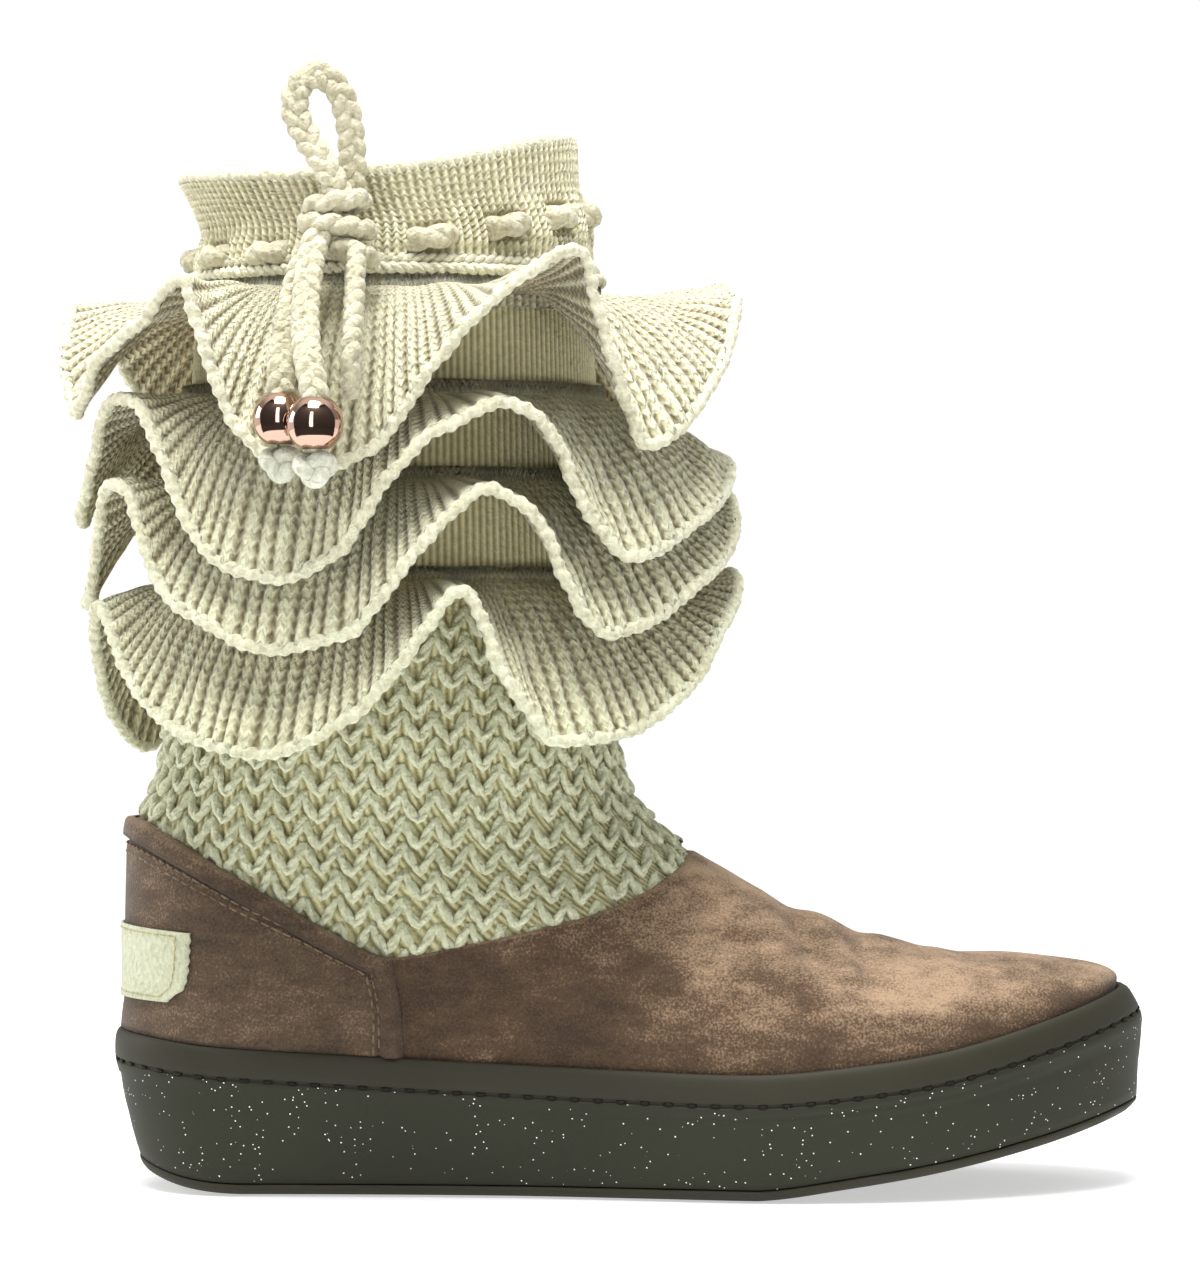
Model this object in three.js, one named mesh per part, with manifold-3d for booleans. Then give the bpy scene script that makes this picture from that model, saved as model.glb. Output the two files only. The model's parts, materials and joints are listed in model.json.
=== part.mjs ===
// A women's mukluk boot: rubber cup sole, suede foot, knitted shaft with four
// ruffle tiers, and a drawstring tied in a bow with two beads.
// Millimetres, +Z up. +X points to the toe, -Y to the outer side of this right shoe.
// The origin is on the floor, half way along the sole.

import * as THREE from 'three';
import { mergeVertices } from 'three/addons/utils/BufferGeometryUtils.js';
import Module from 'manifold-3d';

const wasm = await Module();
wasm.setup();

// Driving dimensions
const soleLength = 268;
const ballWidth = 98;
const soleHeight = 41;
const outsoleThickness = 2.7;
const cupDepth = 8;
const upperHeight = 54.7;
const shaftHeight = 176.7;
const suedeWall = 2;
const knitWall = 3;
const insoleThickness = 4;
const panelThickness = 1.2;
const trimThickness = 1.9;
const trimWidth = 5.6;
const labelThickness = 0.6;
const sockTuck = 12;
const frillThickness = 3;
const frillReach = 35.5;
const frillDrop = 50;
const frillBand = 4;
const cordDiameter = 6;
const beadDiameter = 13.8;
const beadHeight = 12.5;
const gap = 0.3;
const toeLean = 4;
const drawstringDip = 4.7;

// Named places that follow from them
const halfSole = soleLength / 2;
const cordRadius = cordDiameter / 2;
const fullTurn = 2 * Math.PI;
const formPoints = 36;
const frillPoints = 50;

// Width and centre line of the sole, as shares of the ball width, along the sole's length
const plan = [
  { at: 0.00, half: 0.350, centre: 0.000 },
  { at: 0.20, half: 0.352, centre: 0.000 },
  { at: 0.38, half: 0.357, centre: -0.025 },
  { at: 0.50, half: 0.400, centre: -0.038 },
  { at: 0.62, half: 0.465, centre: -0.033 },
  { at: 0.72, half: 0.493, centre: -0.004 },
  { at: 0.84, half: 0.470, centre: 0.025 },
  { at: 1.00, half: 0.440, centre: 0.060 },
];
const soleCaps = { heelCap: 0.13, toeCap: 0.25 };

// Height of the lip and of the tread over the floor, as shares of the sole's height
const soleSide = [
  { at: 0.00, lip: 1.000, tread: 0.200 },
  { at: 0.04, lip: 0.975, tread: 0.090 },
  { at: 0.08, lip: 0.945, tread: 0.025 },
  { at: 0.13, lip: 0.920, tread: 0.000 },
  { at: 0.30, lip: 0.858, tread: 0.000 },
  { at: 0.50, lip: 0.805, tread: 0.000 },
  { at: 0.62, lip: 0.792, tread: 0.000 },
  { at: 0.70, lip: 0.835, tread: 0.070 },
  { at: 0.80, lip: 0.930, tread: 0.175 },
  { at: 0.90, lip: 1.100, tread: 0.315 },
  { at: 1.00, lip: 1.300, tread: 0.490 },
];

// Sections of the boot's form, from the sole's lip to the collar. heel and toe are
// shares of half the sole's length; rises run 0 to 1 over the foot and 1 to 2 over
// the shaft; halves are shares of the ball width; caps are shares of the section.
const sections = [
  { heel: -0.987, heelRise: 0.200, toe: 0.944, toeRise: 0.250, heelHalf: 0.332, toeHalf: 0.459,
    heelCap: 0.135, toeCap: 0.26, sag: 0.210, swing: 1.00 },
  { heel: -0.990, heelRise: 0.384, toe: 0.881, toeRise: 0.302, heelHalf: 0.337, toeHalf: 0.423,
    heelCap: 0.140, toeCap: 0.28, sag: 0.180, swing: 0.95 },
  { heel: -0.990, heelRise: 0.567, toe: 0.776, toeRise: 0.331, heelHalf: 0.340, toeHalf: 0.388,
    heelCap: 0.150, toeCap: 0.30, sag: 0.146, swing: 0.85 },
  { heel: -0.987, heelRise: 0.713, toe: 0.657, toeRise: 0.340, heelHalf: 0.342, toeHalf: 0.362,
    heelCap: 0.165, toeCap: 0.33, sag: 0.120, swing: 0.75 },
  { heel: -0.980, heelRise: 0.841, toe: 0.522, toeRise: 0.398, heelHalf: 0.342, toeHalf: 0.342,
    heelCap: 0.185, toeCap: 0.36, sag: 0.090, swing: 0.60 },
  { heel: -0.969, heelRise: 0.951, toe: 0.388, toeRise: 0.503, heelHalf: 0.347, toeHalf: 0.332,
    heelCap: 0.210, toeCap: 0.40, sag: 0.073, swing: 0.45 },
  { heel: -0.951, heelRise: 1.016, toe: 0.254, toeRise: 0.642, heelHalf: 0.352, toeHalf: 0.332,
    heelCap: 0.250, toeCap: 0.44, sag: 0.055, swing: 0.30 },
  { heel: -0.933, heelRise: 1.044, toe: 0.127, toeRise: 0.830, heelHalf: 0.362, toeHalf: 0.347,
    heelCap: 0.300, toeCap: 0.47, sag: 0.037, swing: 0.15 },
  { heel: -0.920, heelRise: 1.075, toe: 0.048, toeRise: 0.996, heelHalf: 0.378, toeHalf: 0.367,
    heelCap: 0.360, toeCap: 0.50, sag: 0.018, swing: 0.05 },
  { heel: -0.913, heelRise: 1.115, toe: 0.004, toeRise: 1.047, heelHalf: 0.393, toeHalf: 0.388,
    heelCap: 0.420, toeCap: 0.50, sag: 0.000, swing: 0.00 },
  { heel: -0.907, heelRise: 1.171, toe: -0.019, toeRise: 1.126, heelHalf: 0.418, toeHalf: 0.418,
    heelCap: 0.500, toeCap: 0.50, sag: 0.000, swing: 0.00 },
  { heel: -0.881, heelRise: 1.477, toe: -0.042, toeRise: 1.477, heelHalf: 0.459, toeHalf: 0.459,
    heelCap: 0.500, toeCap: 0.50, sag: 0.000, swing: 0.00 },
  { heel: -0.854, heelRise: 1.800, toe: -0.060, toeRise: 1.834, heelHalf: 0.480, toeHalf: 0.480,
    heelCap: 0.500, toeCap: 0.50, sag: 0.000, swing: 0.00 },
  { heel: -0.844, heelRise: 1.848, toe: -0.075, toeRise: 1.876, heelHalf: 0.469, toeHalf: 0.469,
    heelCap: 0.500, toeCap: 0.50, sag: 0.040, swing: 0.00 },
  { heel: -0.861, heelRise: 1.887, toe: -0.086, toeRise: 1.921, heelHalf: 0.474, toeHalf: 0.474,
    heelCap: 0.500, toeCap: 0.50, sag: 0.080, swing: 0.00 },
  { heel: -0.887, heelRise: 1.925, toe: -0.090, toeRise: 1.992, heelHalf: 0.490, toeHalf: 0.490,
    heelCap: 0.500, toeCap: 0.50, sag: 0.124, swing: 0.00 },
];
const firstSockSection = 3;
const firstShaftSection = 10;
const lastFootSection = 12;

// The suede's top edge in side view, in the same shares
const topline = [
  { along: -0.965, rise: 1.000 },
  { along: -0.919, rise: 0.965 },
  { along: -0.705, rise: 0.675 },
  { along: -0.507, rise: 0.402 },
  { along: -0.448, rise: 0.362 },
  { along: -0.294, rise: 0.431 },
  { along: -0.094, rise: 0.552 },
  { along: 0.015, rise: 0.649 },
  { along: 0.075, rise: 0.740 },
  { along: 0.116, rise: 0.841 },
  { along: 0.170, rise: 1.080 },
];
const heelToplineRows = 5;

// Front seam of the heel panel, and the corners of its label, in the same shares
const heelSeam = [
  { along: -0.452, rise: 0.362 },
  { along: -0.446, rise: 0.260 },
  { along: -0.436, rise: 0.150 },
  { along: -0.430, rise: -0.100 },
];
const labelOutline = [
  { along: -1.100, rise: 0.150 },
  { along: -0.881, rise: 0.146 },
  { along: -0.850, rise: 0.221 },
  { along: -0.837, rise: 0.475 },
  { along: -1.100, rise: 0.503 },
];

// The ruffle tiers. rise is the height of the root on the shaft. Each fold row gives
// the turn around the shaft in degrees, how far the hem drops as a share of the full
// drop, and how far it reaches out as a share of the full reach.
const tiers = [
  { name: 'frill_1', rise: 1.760, folds: [
    { turn: 0, drop: 0.00, reach: 1.00 },
    { turn: 20, drop: -0.10, reach: 1.00 },
    { turn: 60, drop: 0.70, reach: 0.95 },
    { turn: 95, drop: -0.10, reach: 1.00 },
    { turn: 130, drop: 0.75, reach: 0.95 },
    { turn: 163, drop: 0.00, reach: 1.00 },
    { turn: 178, drop: 0.30, reach: 0.93 },
    { turn: 190, drop: 0.60, reach: 0.84 },
    { turn: 200, drop: 0.56, reach: 0.84 },
    { turn: 212, drop: 0.36, reach: 0.90 },
    { turn: 226, drop: 0.20, reach: 0.94 },
    { turn: 235, drop: 0.00, reach: 0.95 },
    { turn: 240, drop: 0.38, reach: 0.92 },
    { turn: 245, drop: 0.72, reach: 0.89 },
    { turn: 251, drop: 0.87, reach: 0.86 },
    { turn: 259, drop: 0.94, reach: 0.83 },
    { turn: 268, drop: 0.84, reach: 0.84 },
    { turn: 279, drop: 0.42, reach: 0.88 },
    { turn: 291, drop: 0.04, reach: 0.94 },
    { turn: 303, drop: -0.14, reach: 0.98 },
    { turn: 310, drop: 0.40, reach: 0.98 },
    { turn: 318, drop: 0.80, reach: 0.97 },
    { turn: 340, drop: 0.42, reach: 0.99 },
  ] },
  { name: 'frill_2', rise: 1.607, folds: [
    { turn: 0, drop: 0.34, reach: 0.93 },
    { turn: 22, drop: 0.27, reach: 0.94 },
    { turn: 60, drop: 0.76, reach: 0.90 },
    { turn: 95, drop: 0.10, reach: 1.00 },
    { turn: 126, drop: 0.72, reach: 0.90 },
    { turn: 152, drop: 0.34, reach: 0.80 },
    { turn: 182, drop: 0.62, reach: 0.74 },
    { turn: 200, drop: 0.30, reach: 0.72 },
    { turn: 215, drop: 0.02, reach: 0.80 },
    { turn: 222, drop: 0.06, reach: 0.81 },
    { turn: 229, drop: 0.32, reach: 0.82 },
    { turn: 235, drop: 0.66, reach: 0.82 },
    { turn: 243, drop: 0.87, reach: 0.82 },
    { turn: 253, drop: 0.93, reach: 0.82 },
    { turn: 263, drop: 0.80, reach: 0.83 },
    { turn: 271, drop: 0.46, reach: 0.85 },
    { turn: 280, drop: 0.20, reach: 0.88 },
    { turn: 291, drop: 0.07, reach: 0.92 },
    { turn: 298, drop: 0.20, reach: 0.94 },
    { turn: 305, drop: 0.60, reach: 0.95 },
    { turn: 314, drop: 0.82, reach: 0.96 },
    { turn: 331, drop: 0.64, reach: 0.96 },
    { turn: 346, drop: 0.48, reach: 0.94 },
  ] },
  { name: 'frill_3', rise: 1.483, folds: [
    { turn: 0, drop: 0.18, reach: 0.94 },
    { turn: 18, drop: 0.00, reach: 0.96 },
    { turn: 58, drop: 0.74, reach: 0.90 },
    { turn: 93, drop: 0.08, reach: 1.00 },
    { turn: 116, drop: 0.62, reach: 0.88 },
    { turn: 150, drop: 0.20, reach: 0.82 },
    { turn: 176, drop: 0.60, reach: 0.70 },
    { turn: 188, drop: 0.56, reach: 0.62 },
    { turn: 212, drop: 0.00, reach: 0.72 },
    { turn: 219, drop: 0.05, reach: 0.76 },
    { turn: 226, drop: 0.42, reach: 0.78 },
    { turn: 231, drop: 0.59, reach: 0.79 },
    { turn: 238, drop: 0.69, reach: 0.81 },
    { turn: 251, drop: 0.84, reach: 0.84 },
    { turn: 265, drop: 0.76, reach: 0.85 },
    { turn: 271, drop: 0.56, reach: 0.86 },
    { turn: 278, drop: 0.28, reach: 0.88 },
    { turn: 287, drop: 0.06, reach: 0.90 },
    { turn: 296, drop: 0.20, reach: 0.92 },
    { turn: 303, drop: 0.62, reach: 0.93 },
    { turn: 309, drop: 0.76, reach: 0.94 },
    { turn: 333, drop: 0.50, reach: 0.94 },
  ] },
  { name: 'frill_4', rise: 1.341, folds: [
    { turn: 12, drop: -0.06, reach: 0.92 },
    { turn: 52, drop: 0.78, reach: 0.90 },
    { turn: 86, drop: 0.08, reach: 0.98 },
    { turn: 112, drop: 0.70, reach: 0.86 },
    { turn: 128, drop: 0.40, reach: 0.72 },
    { turn: 150, drop: 0.86, reach: 0.56 },
    { turn: 174, drop: 0.56, reach: 0.53 },
    { turn: 200, drop: 0.12, reach: 0.60 },
    { turn: 208, drop: 0.24, reach: 0.62 },
    { turn: 215, drop: 0.42, reach: 0.66 },
    { turn: 227, drop: 0.66, reach: 0.72 },
    { turn: 238, drop: 0.79, reach: 0.78 },
    { turn: 251, drop: 0.85, reach: 0.84 },
    { turn: 266, drop: 0.66, reach: 0.89 },
    { turn: 274, drop: 0.38, reach: 0.90 },
    { turn: 283, drop: 0.06, reach: 0.90 },
    { turn: 291, drop: 0.50, reach: 0.91 },
    { turn: 299, drop: 0.79, reach: 0.92 },
    { turn: 310, drop: 0.76, reach: 0.94 },
    { turn: 330, drop: 0.50, reach: 0.92 },
    { turn: 343, drop: 0.20, reach: 0.92 },
  ] },
];
// Rows of a tier between its root, 0, and its hem, 1
const tierRows = [0, 0.45, 1];

// Drawstring: bars that show outside the collar, and where the first one lies
const drawstringBars = 15;
const drawstringSteps = 4;
const drawstringBowTurn = 254;
const drawstringRise = { heel: 1.814, toe: 1.882 };
const slotClearance = 0.8;

// Routes of the bow's cords, chosen by hand
const bowCentre = { x: -73, y: -57, z: 243 };
const loopUpRoute = [
  [-71.0, -60.4, 248.4],
  [-75.6, -60.9, 258.6],
  [-80.4, -59.6, 265.9],
  [-83.4, -58.4, 272.6],
  [-82.2, -57.8, 279.0],
  [-77.5, -57.4, 281.7],
  [-73.0, -56.8, 278.3],
  [-70.4, -55.8, 271.6],
  [-69.6, -54.6, 264.9],
  [-69.4, -53.9, 257.5],
  [-70.2, -53.8, 248.6],
];
const loopDownRoute = [
  [-67.8, -63.0, 237.8],
  [-67.6, -73.6, 227.2],
  [-67.6, -83.0, 216.5],
  [-67.9, -88.6, 208.5],
  [-68.2, -85.6, 203.4],
  [-68.4, -79.4, 203.6],
  [-68.5, -75.0, 209.5],
  [-68.6, -70.0, 218.5],
  [-68.6, -62.2, 228.2],
  [-68.6, -54.6, 237.6],
];
const endLeftRoute = [
  [-79.9, -56.6, 239.6],
  [-82.8, -62.2, 228.0],
  [-84.8, -73.0, 215.0],
  [-85.1, -81.4, 207.0],
  [-85.0, -83.6, 201.0],
  [-85.0, -83.6, 195.0],
  [-85.0, -83.6, 188.8],
];
const endRightRoute = [
  [-77.6, -62.8, 241.6],
  [-79.2, -70.0, 231.0],
  [-79.3, -81.6, 217.5],
  [-77.6, -91.6, 206.6],
  [-76.1, -94.6, 199.6],
  [-76.1, -94.6, 193.4],
  [-76.1, -94.6, 187.2],
];
const beads = [
  { name: 'left', x: -85.0, y: -83.6, z: 194.9 },
  { name: 'right', x: -76.1, y: -94.6, z: 193.3 },
];
const endKnotSize = { x: 5.0, y: 4.8, z: 4.2 };

// A smooth line through one column of a table
function track(rows, key, column) {
  return (place) => {
    const last = rows.length - 1;
    let low = 0;
    while (low < last - 1 && place > rows[low + 1][key]) low += 1;
    const start = rows[low];
    const end = rows[low + 1];
    const span = end[key] - start[key];
    const t = Math.min(1, Math.max(0, (place - start[key]) / span));
    const before = rows[Math.max(0, low - 1)];
    const after = rows[Math.min(last, low + 2)];
    const slopeIn = (end[column] - before[column]) / (end[key] - before[key]) * span;
    const slopeOut = (after[column] - start[column]) / (after[key] - start[key]) * span;
    const square = t * t;
    const cube = square * t;
    return (2 * cube - 3 * square + 1) * start[column] + (cube - 2 * square + t) * slopeIn
      + (3 * square - 2 * cube) * end[column] + (cube - square) * slopeOut;
  };
}

// A smooth closed line through one column of a table of folds, level at its highs
// and lows, at a turn in degrees
function foldTrack(folds, column) {
  const count = folds.length;
  const spans = folds.map((row, i) => (folds[(i + 1) % count].turn - row.turn + 360) % 360);
  const rates = folds.map((row, i) => (folds[(i + 1) % count][column] - row[column]) / spans[i]);
  const slopes = folds.map((row, i) => {
    const before = rates[(i + count - 1) % count];
    return before * rates[i] <= 0 ? 0 : 2 * before * rates[i] / (before + rates[i]);
  });
  return (turn) => {
    const index = folds.findLastIndex((row) => turn >= row.turn);
    const low = index < 0 ? count - 1 : index;
    const high = (low + 1) % count;
    const t = ((turn - folds[low].turn + 360) % 360) / spans[low];
    const square = t * t;
    const cube = square * t;
    return (2 * cube - 3 * square + 1) * folds[low][column]
      + (cube - 2 * square + t) * slopes[low] * spans[low]
      + (3 * square - 2 * cube) * folds[high][column]
      + (cube - square) * slopes[high] * spans[low];
  };
}

const planHalf = track(plan, 'at', 'half');
const planCentre = track(plan, 'at', 'centre');
const lipShare = track(soleSide, 'at', 'lip');
const treadShare = track(soleSide, 'at', 'tread');
const alongSole = (x) => (x + halfSole) / soleLength;
const lipHeight = (x) => soleHeight * lipShare(alongSole(x));
const treadHeight = (x) => soleHeight * Math.max(0, treadShare(alongSole(x)));
const floorHeight = (x) => lipHeight(x) - cupDepth;
const lerp = THREE.MathUtils.lerp;

function riseHeight(rise) {
  const foot = soleHeight + Math.min(rise, 1) * upperHeight;
  return foot + Math.max(rise - 1, 0) * shaftHeight;
}

// The height of a rounded end at a share of the length from its tip
function roundEnd(share, cap) {
  return share >= cap ? 1 : Math.sqrt(Math.max(0, 1 - ((cap - share) / cap) ** 2));
}

// A plan outline of the given points, from the heel along the outer side and back
function outline(heelX, toeX, widthAt, centreAt, caps, points) {
  const ring = [];
  for (let i = 0; i < points; i += 1) {
    const angle = fullTurn * i / points;
    const at = (1 - Math.cos(angle)) / 2;
    const side = i < points / 2 ? -1 : 1;
    const end = roundEnd(at, caps.heelCap) * roundEnd(1 - at, caps.toeCap);
    const y = centreAt(at) + side * widthAt(at) * end;
    ring.push(new THREE.Vector3(lerp(heelX, toeX, at), y, 0));
  }
  return ring;
}

// Moves a plan outline outward by a distance, and by another one where it faces the toe
function inflate(ring, out, toeOut) {
  return ring.map((point, i) => {
    const next = ring[(i + 1) % ring.length];
    const before = ring[(i + ring.length - 1) % ring.length];
    const along = next.clone().sub(before).normalize();
    const distance = lerp(out, toeOut, Math.max(0, along.y) ** 2);
    return new THREE.Vector3(point.x + along.y * distance, point.y - along.x * distance, 0);
  });
}

const soleOutline = outline(
  -halfSole,
  halfSole,
  (at) => ballWidth * planHalf(at),
  (at) => ballWidth * planCentre(at),
  soleCaps,
  formPoints,
);

// One outline of the sole, moved in or out, with its height worked out from x
function soleRing(out, heightAt, toeOut = out) {
  return inflate(soleOutline, out, toeOut).map((point) => {
    const x = THREE.MathUtils.clamp(point.x, -halfSole, halfSole);
    return point.setZ(heightAt(x));
  });
}

// One section of the boot's form from its table row
function sectionRing(row) {
  const heelX = halfSole * row.heel;
  const toeX = halfSole * row.toe;
  const heelZ = riseHeight(row.heelRise);
  const toeZ = riseHeight(row.toeRise);
  const spread = (at) => (planHalf(at) - planHalf(0)) / (planHalf(0.72) - planHalf(0));
  const widthAt = (at) => ballWidth * lerp(row.heelHalf, row.toeHalf, spread(at));
  const centreAt = (at) => ballWidth * planCentre(at) * row.swing;
  const ring = outline(heelX, toeX, widthAt, centreAt, row, formPoints);
  return ring.map((point) => {
    const at = (point.x - heelX) / (toeX - heelX);
    const dip = 4 * at * (1 - at) * row.sag * upperHeight;
    return point.setZ(lerp(heelZ, toeZ, at) - dip);
  });
}

// The suede stands on the cup's floor and leans out over the lip's inner wall
const cupWall = { floor: -4.5, lip: -2.6 };
const formRings = [
  soleRing(cupWall.floor - gap, (x) => floorHeight(x) + gap, cupWall.floor - toeLean - gap),
  soleRing(cupWall.lip - gap, (x) => lipHeight(x) - 0.5, cupWall.lip - toeLean - gap),
  ...sections.map(sectionRing),
];

function cap(ring, faces, start, up) {
  const count = ring.length;
  const index = (i) => start + (i % count);
  const face = (a, b, c) => faces.push(...(up ? [a, b, c] : [a, c, b]));
  for (let i = 0; i < count / 2; i += 1) {
    const far = index(count - i);
    const farNext = index(count - i - 1);
    if (i < count / 2 - 1) face(index(i), index(i + 1), farNext);
    else face(index(i), index(i + 1), far);
    if (i > 0 && i < count / 2 - 1) face(index(i), farNext, far);
  }
}

function geometryOf(points, faces) {
  const geometry = new THREE.BufferGeometry();
  const values = points.flatMap((point) => [point.x, point.y, point.z]);
  geometry.setAttribute('position', new THREE.Float32BufferAttribute(values, 3));
  geometry.setIndex(faces);
  return geometry;
}

function wall(rings, faces, closed) {
  const count = rings[0].length;
  const steps = closed ? rings.length : rings.length - 1;
  for (let j = 0; j < steps; j += 1) {
    for (let i = 0; i < count; i += 1) {
      const next = (i + 1) % count;
      const above = ((j + 1) % rings.length) * count;
      const here = j * count;
      faces.push(here + i, here + next, above + next, here + i, above + next, above + i);
    }
  }
}

// A solid through stacked rings, closed at both ends
function stack(rings) {
  const faces = [];
  wall(rings, faces, false);
  cap(rings[0], faces, 0, false);
  cap(rings[rings.length - 1], faces, (rings.length - 1) * rings[0].length, true);
  return geometryOf(rings.flat(), faces);
}

// A ring-shaped solid, whose last ring joins its first
function hoop(rings) {
  const faces = [];
  wall(rings, faces, true);
  return geometryOf(rings.flat(), faces);
}

function normals(rings) {
  const count = rings[0].length;
  return rings.map((ring, j) => ring.map((point, i) => {
    const around = ring[(i + 1) % count].clone().sub(ring[(i + count - 1) % count]);
    const above = rings[Math.min(rings.length - 1, j + 1)][i];
    const below = rings[Math.max(0, j - 1)][i];
    return around.cross(above.clone().sub(below)).normalize();
  }));
}

// The boot's form, moved in or out, from one section to another. reach lengthens
// both ends, so that a hollow cut with it is open there. every leaves sections out.
function form(offset, first, last, reach, every = 1) {
  const outward = normals(formRings);
  const rings = [];
  for (let j = first; j <= last; j += 1) {
    if ((last - j) % every) continue;
    rings.push(formRings[j].map((point, i) => point.clone().addScaledVector(outward[j][i], offset)));
  }
  if (reach) {
    rings.unshift(rings[0].map((point) => point.clone().setZ(point.z - reach)));
    rings.push(rings[rings.length - 1].map((point) => point.clone().setZ(point.z + reach)));
  }
  return solid(stack(rings));
}

function solid(geometry) {
  const bare = geometry.clone();
  bare.deleteAttribute('normal');
  bare.deleteAttribute('uv');
  const merged = mergeVertices(bare, 1e-4);
  return new wasm.Manifold(new wasm.Mesh({
    numProp: 3,
    vertProperties: new Float32Array(merged.attributes.position.array),
    triVerts: new Uint32Array(merged.index.array),
  }));
}

function meshGeometry(body) {
  const mesh = body.getMesh();
  const geometry = new THREE.BufferGeometry();
  geometry.setAttribute('position', new THREE.Float32BufferAttribute(mesh.vertProperties, 3));
  geometry.setIndex(Array.from(mesh.triVerts));
  return geometry;
}

// A block with the given side view, through the whole width of the boot
function sideBlock(points) {
  const depth = 4 * ballWidth;
  const shape = new THREE.Shape(points.map((point) => new THREE.Vector2(point.x, point.z)));
  const geometry = new THREE.ExtrudeGeometry(shape, { depth, bevelEnabled: false, steps: 1 });
  geometry.rotateX(Math.PI / 2);
  geometry.translate(0, depth / 2, 0);
  return solid(geometry);
}

const sidePoint = (row) => ({ x: halfSole * row.along, z: riseHeight(row.rise) });

const colours = {
  rubber: { color: 0x544f42, roughness: 0.72, metalness: 0 },
  tread: { color: 0x4a463a, roughness: 0.8, metalness: 0 },
  suede: { color: 0x86644f, roughness: 0.95, metalness: 0 },
  heel: { color: 0x7d5c48, roughness: 0.95, metalness: 0 },
  footbed: { color: 0xc9bfa2, roughness: 0.95, metalness: 0 },
  label: { color: 0xe1e3bf, roughness: 0.8, metalness: 0 },
  knit: { color: 0xcfc8a4, roughness: 0.95, metalness: 0 },
  frill: { color: 0xded7b2, roughness: 0.95, metalness: 0 },
  cord: { color: 0xe6dcb8, roughness: 0.9, metalness: 0 },
  bead: { color: 0xc9967c, roughness: 0.12, metalness: 1 },
};

const group = new THREE.Group();

function addPiece(name, geometry, colour) {
  const mesh = new THREE.Mesh(geometry, new THREE.MeshStandardMaterial(colour));
  mesh.name = name;
  group.add(mesh);
  return mesh;
}

// Sole: a thin tread plate under a thick cup, whose wall tapers down to it, but hardly
// at the toe
const soleTaper = -6.4;
const toeTaper = -1.3;
const partingHeight = (x) => treadHeight(x) + outsoleThickness;

function outsole() {
  return stack([
    soleRing(soleTaper - 2.2, treadHeight, toeTaper - 2.8),
    soleRing(soleTaper - 0.5, (x) => treadHeight(x) + 0.9, toeTaper - 1.4),
    soleRing(soleTaper, partingHeight, toeTaper),
  ]);
}

// Rows of the cup's wall: how far out from the outline, also at the toe, and where
// between the parting line (0) and the lip (1), plus a length under the lip
const cupRows = [
  { out: soleTaper, toe: toeTaper, share: 0, under: -gap },
  { out: -3.5, toe: -0.9, share: 0.30, under: 0 },
  { out: -1.4, toe: 0, share: 0.62, under: 0 },
  { out: -0.2, toe: -0.3, share: 1, under: 8.6 },
  { out: -0.9, toe: -1.4, share: 1, under: 7.9 },
  { out: 0, toe: -0.9, share: 1, under: 7.2 },
  { out: -0.1, toe: 1.1 - toeLean, share: 1, under: 2.6 },
  { out: -0.8, toe: -0.7 - toeLean, share: 1, under: 0.6 },
  { out: -1.5, toe: -1.5 - toeLean, share: 1, under: 0 },
  { out: cupWall.lip, toe: cupWall.lip - toeLean, share: 1, under: 1.2 },
  { out: cupWall.floor, toe: cupWall.floor - toeLean, share: 1, under: cupDepth },
];

function midsole() {
  return stack(cupRows.map((row) => soleRing(
    row.out,
    (x) => lerp(partingHeight(x), lipHeight(x), row.share) - row.under,
    row.toe,
  )));
}

function insole() {
  const edge = cupWall.floor - gap - suedeWall - 2 * gap;
  const row = (inset, share) => soleRing(
    edge - inset,
    (x) => floorHeight(x) + gap + insoleThickness * share,
    edge - inset - toeLean,
  );
  return stack([row(0.6, 0), row(0, 0.4), row(0.8, 1)]);
}

// Suede foot, open on top and underneath
function upper() {
  const far = soleLength;
  const shell = form(0, 0, lastFootSection, 0).subtract(form(-suedeWall, 0, lastFootSection, cupDepth));
  const edge = topline.map(sidePoint);
  const top = edge[edge.length - 1].z;
  const region = sideBlock([
    { x: -far, z: -far },
    { x: far, z: -far },
    { x: far, z: top },
    ...edge.reverse(),
    { x: -far, z: riseHeight(topline[0].rise) },
  ]);
  return meshGeometry(shell.intersect(region));
}

// Heel counter: a panel laid on the suede, with a raised trim along its edges
function heelRegion(inset) {
  const far = soleLength;
  const top = topline.slice(0, heelToplineRows).map(sidePoint);
  const seam = heelSeam.map(sidePoint);
  const steps = 6;
  const bottom = [];
  for (let i = 0; i <= steps; i += 1) {
    const x = lerp(seam[seam.length - 1].x, -halfSole, i / steps);
    bottom.push({ x, z: lipHeight(x) + gap });
  }
  const floorLine = bottom[0].z;
  const front = seam.filter((point) => point.z > floorLine + gap);
  return sideBlock([
    ...bottom.map((point) => ({ x: point.x - inset, z: point.z - inset })).reverse(),
    ...front.map((point) => ({ x: point.x - inset, z: point.z - inset })).reverse(),
    ...top.map((point) => ({ x: point.x - inset / 2, z: point.z - inset })).reverse(),
    { x: -far, z: top[0].z - inset },
    { x: -far, z: bottom[steps].z - inset },
  ]);
}

function heelPanel() {
  const base = form(gap, 0, lastFootSection, cupDepth);
  const panel = form(gap + panelThickness, 0, lastFootSection, 0).subtract(base);
  const raised = form(gap + trimThickness, 0, lastFootSection, 0).subtract(base);
  const region = heelRegion(0);
  const trim = region.subtract(heelRegion(trimWidth));
  return meshGeometry(panel.intersect(region).add(raised.intersect(trim)));
}

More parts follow.
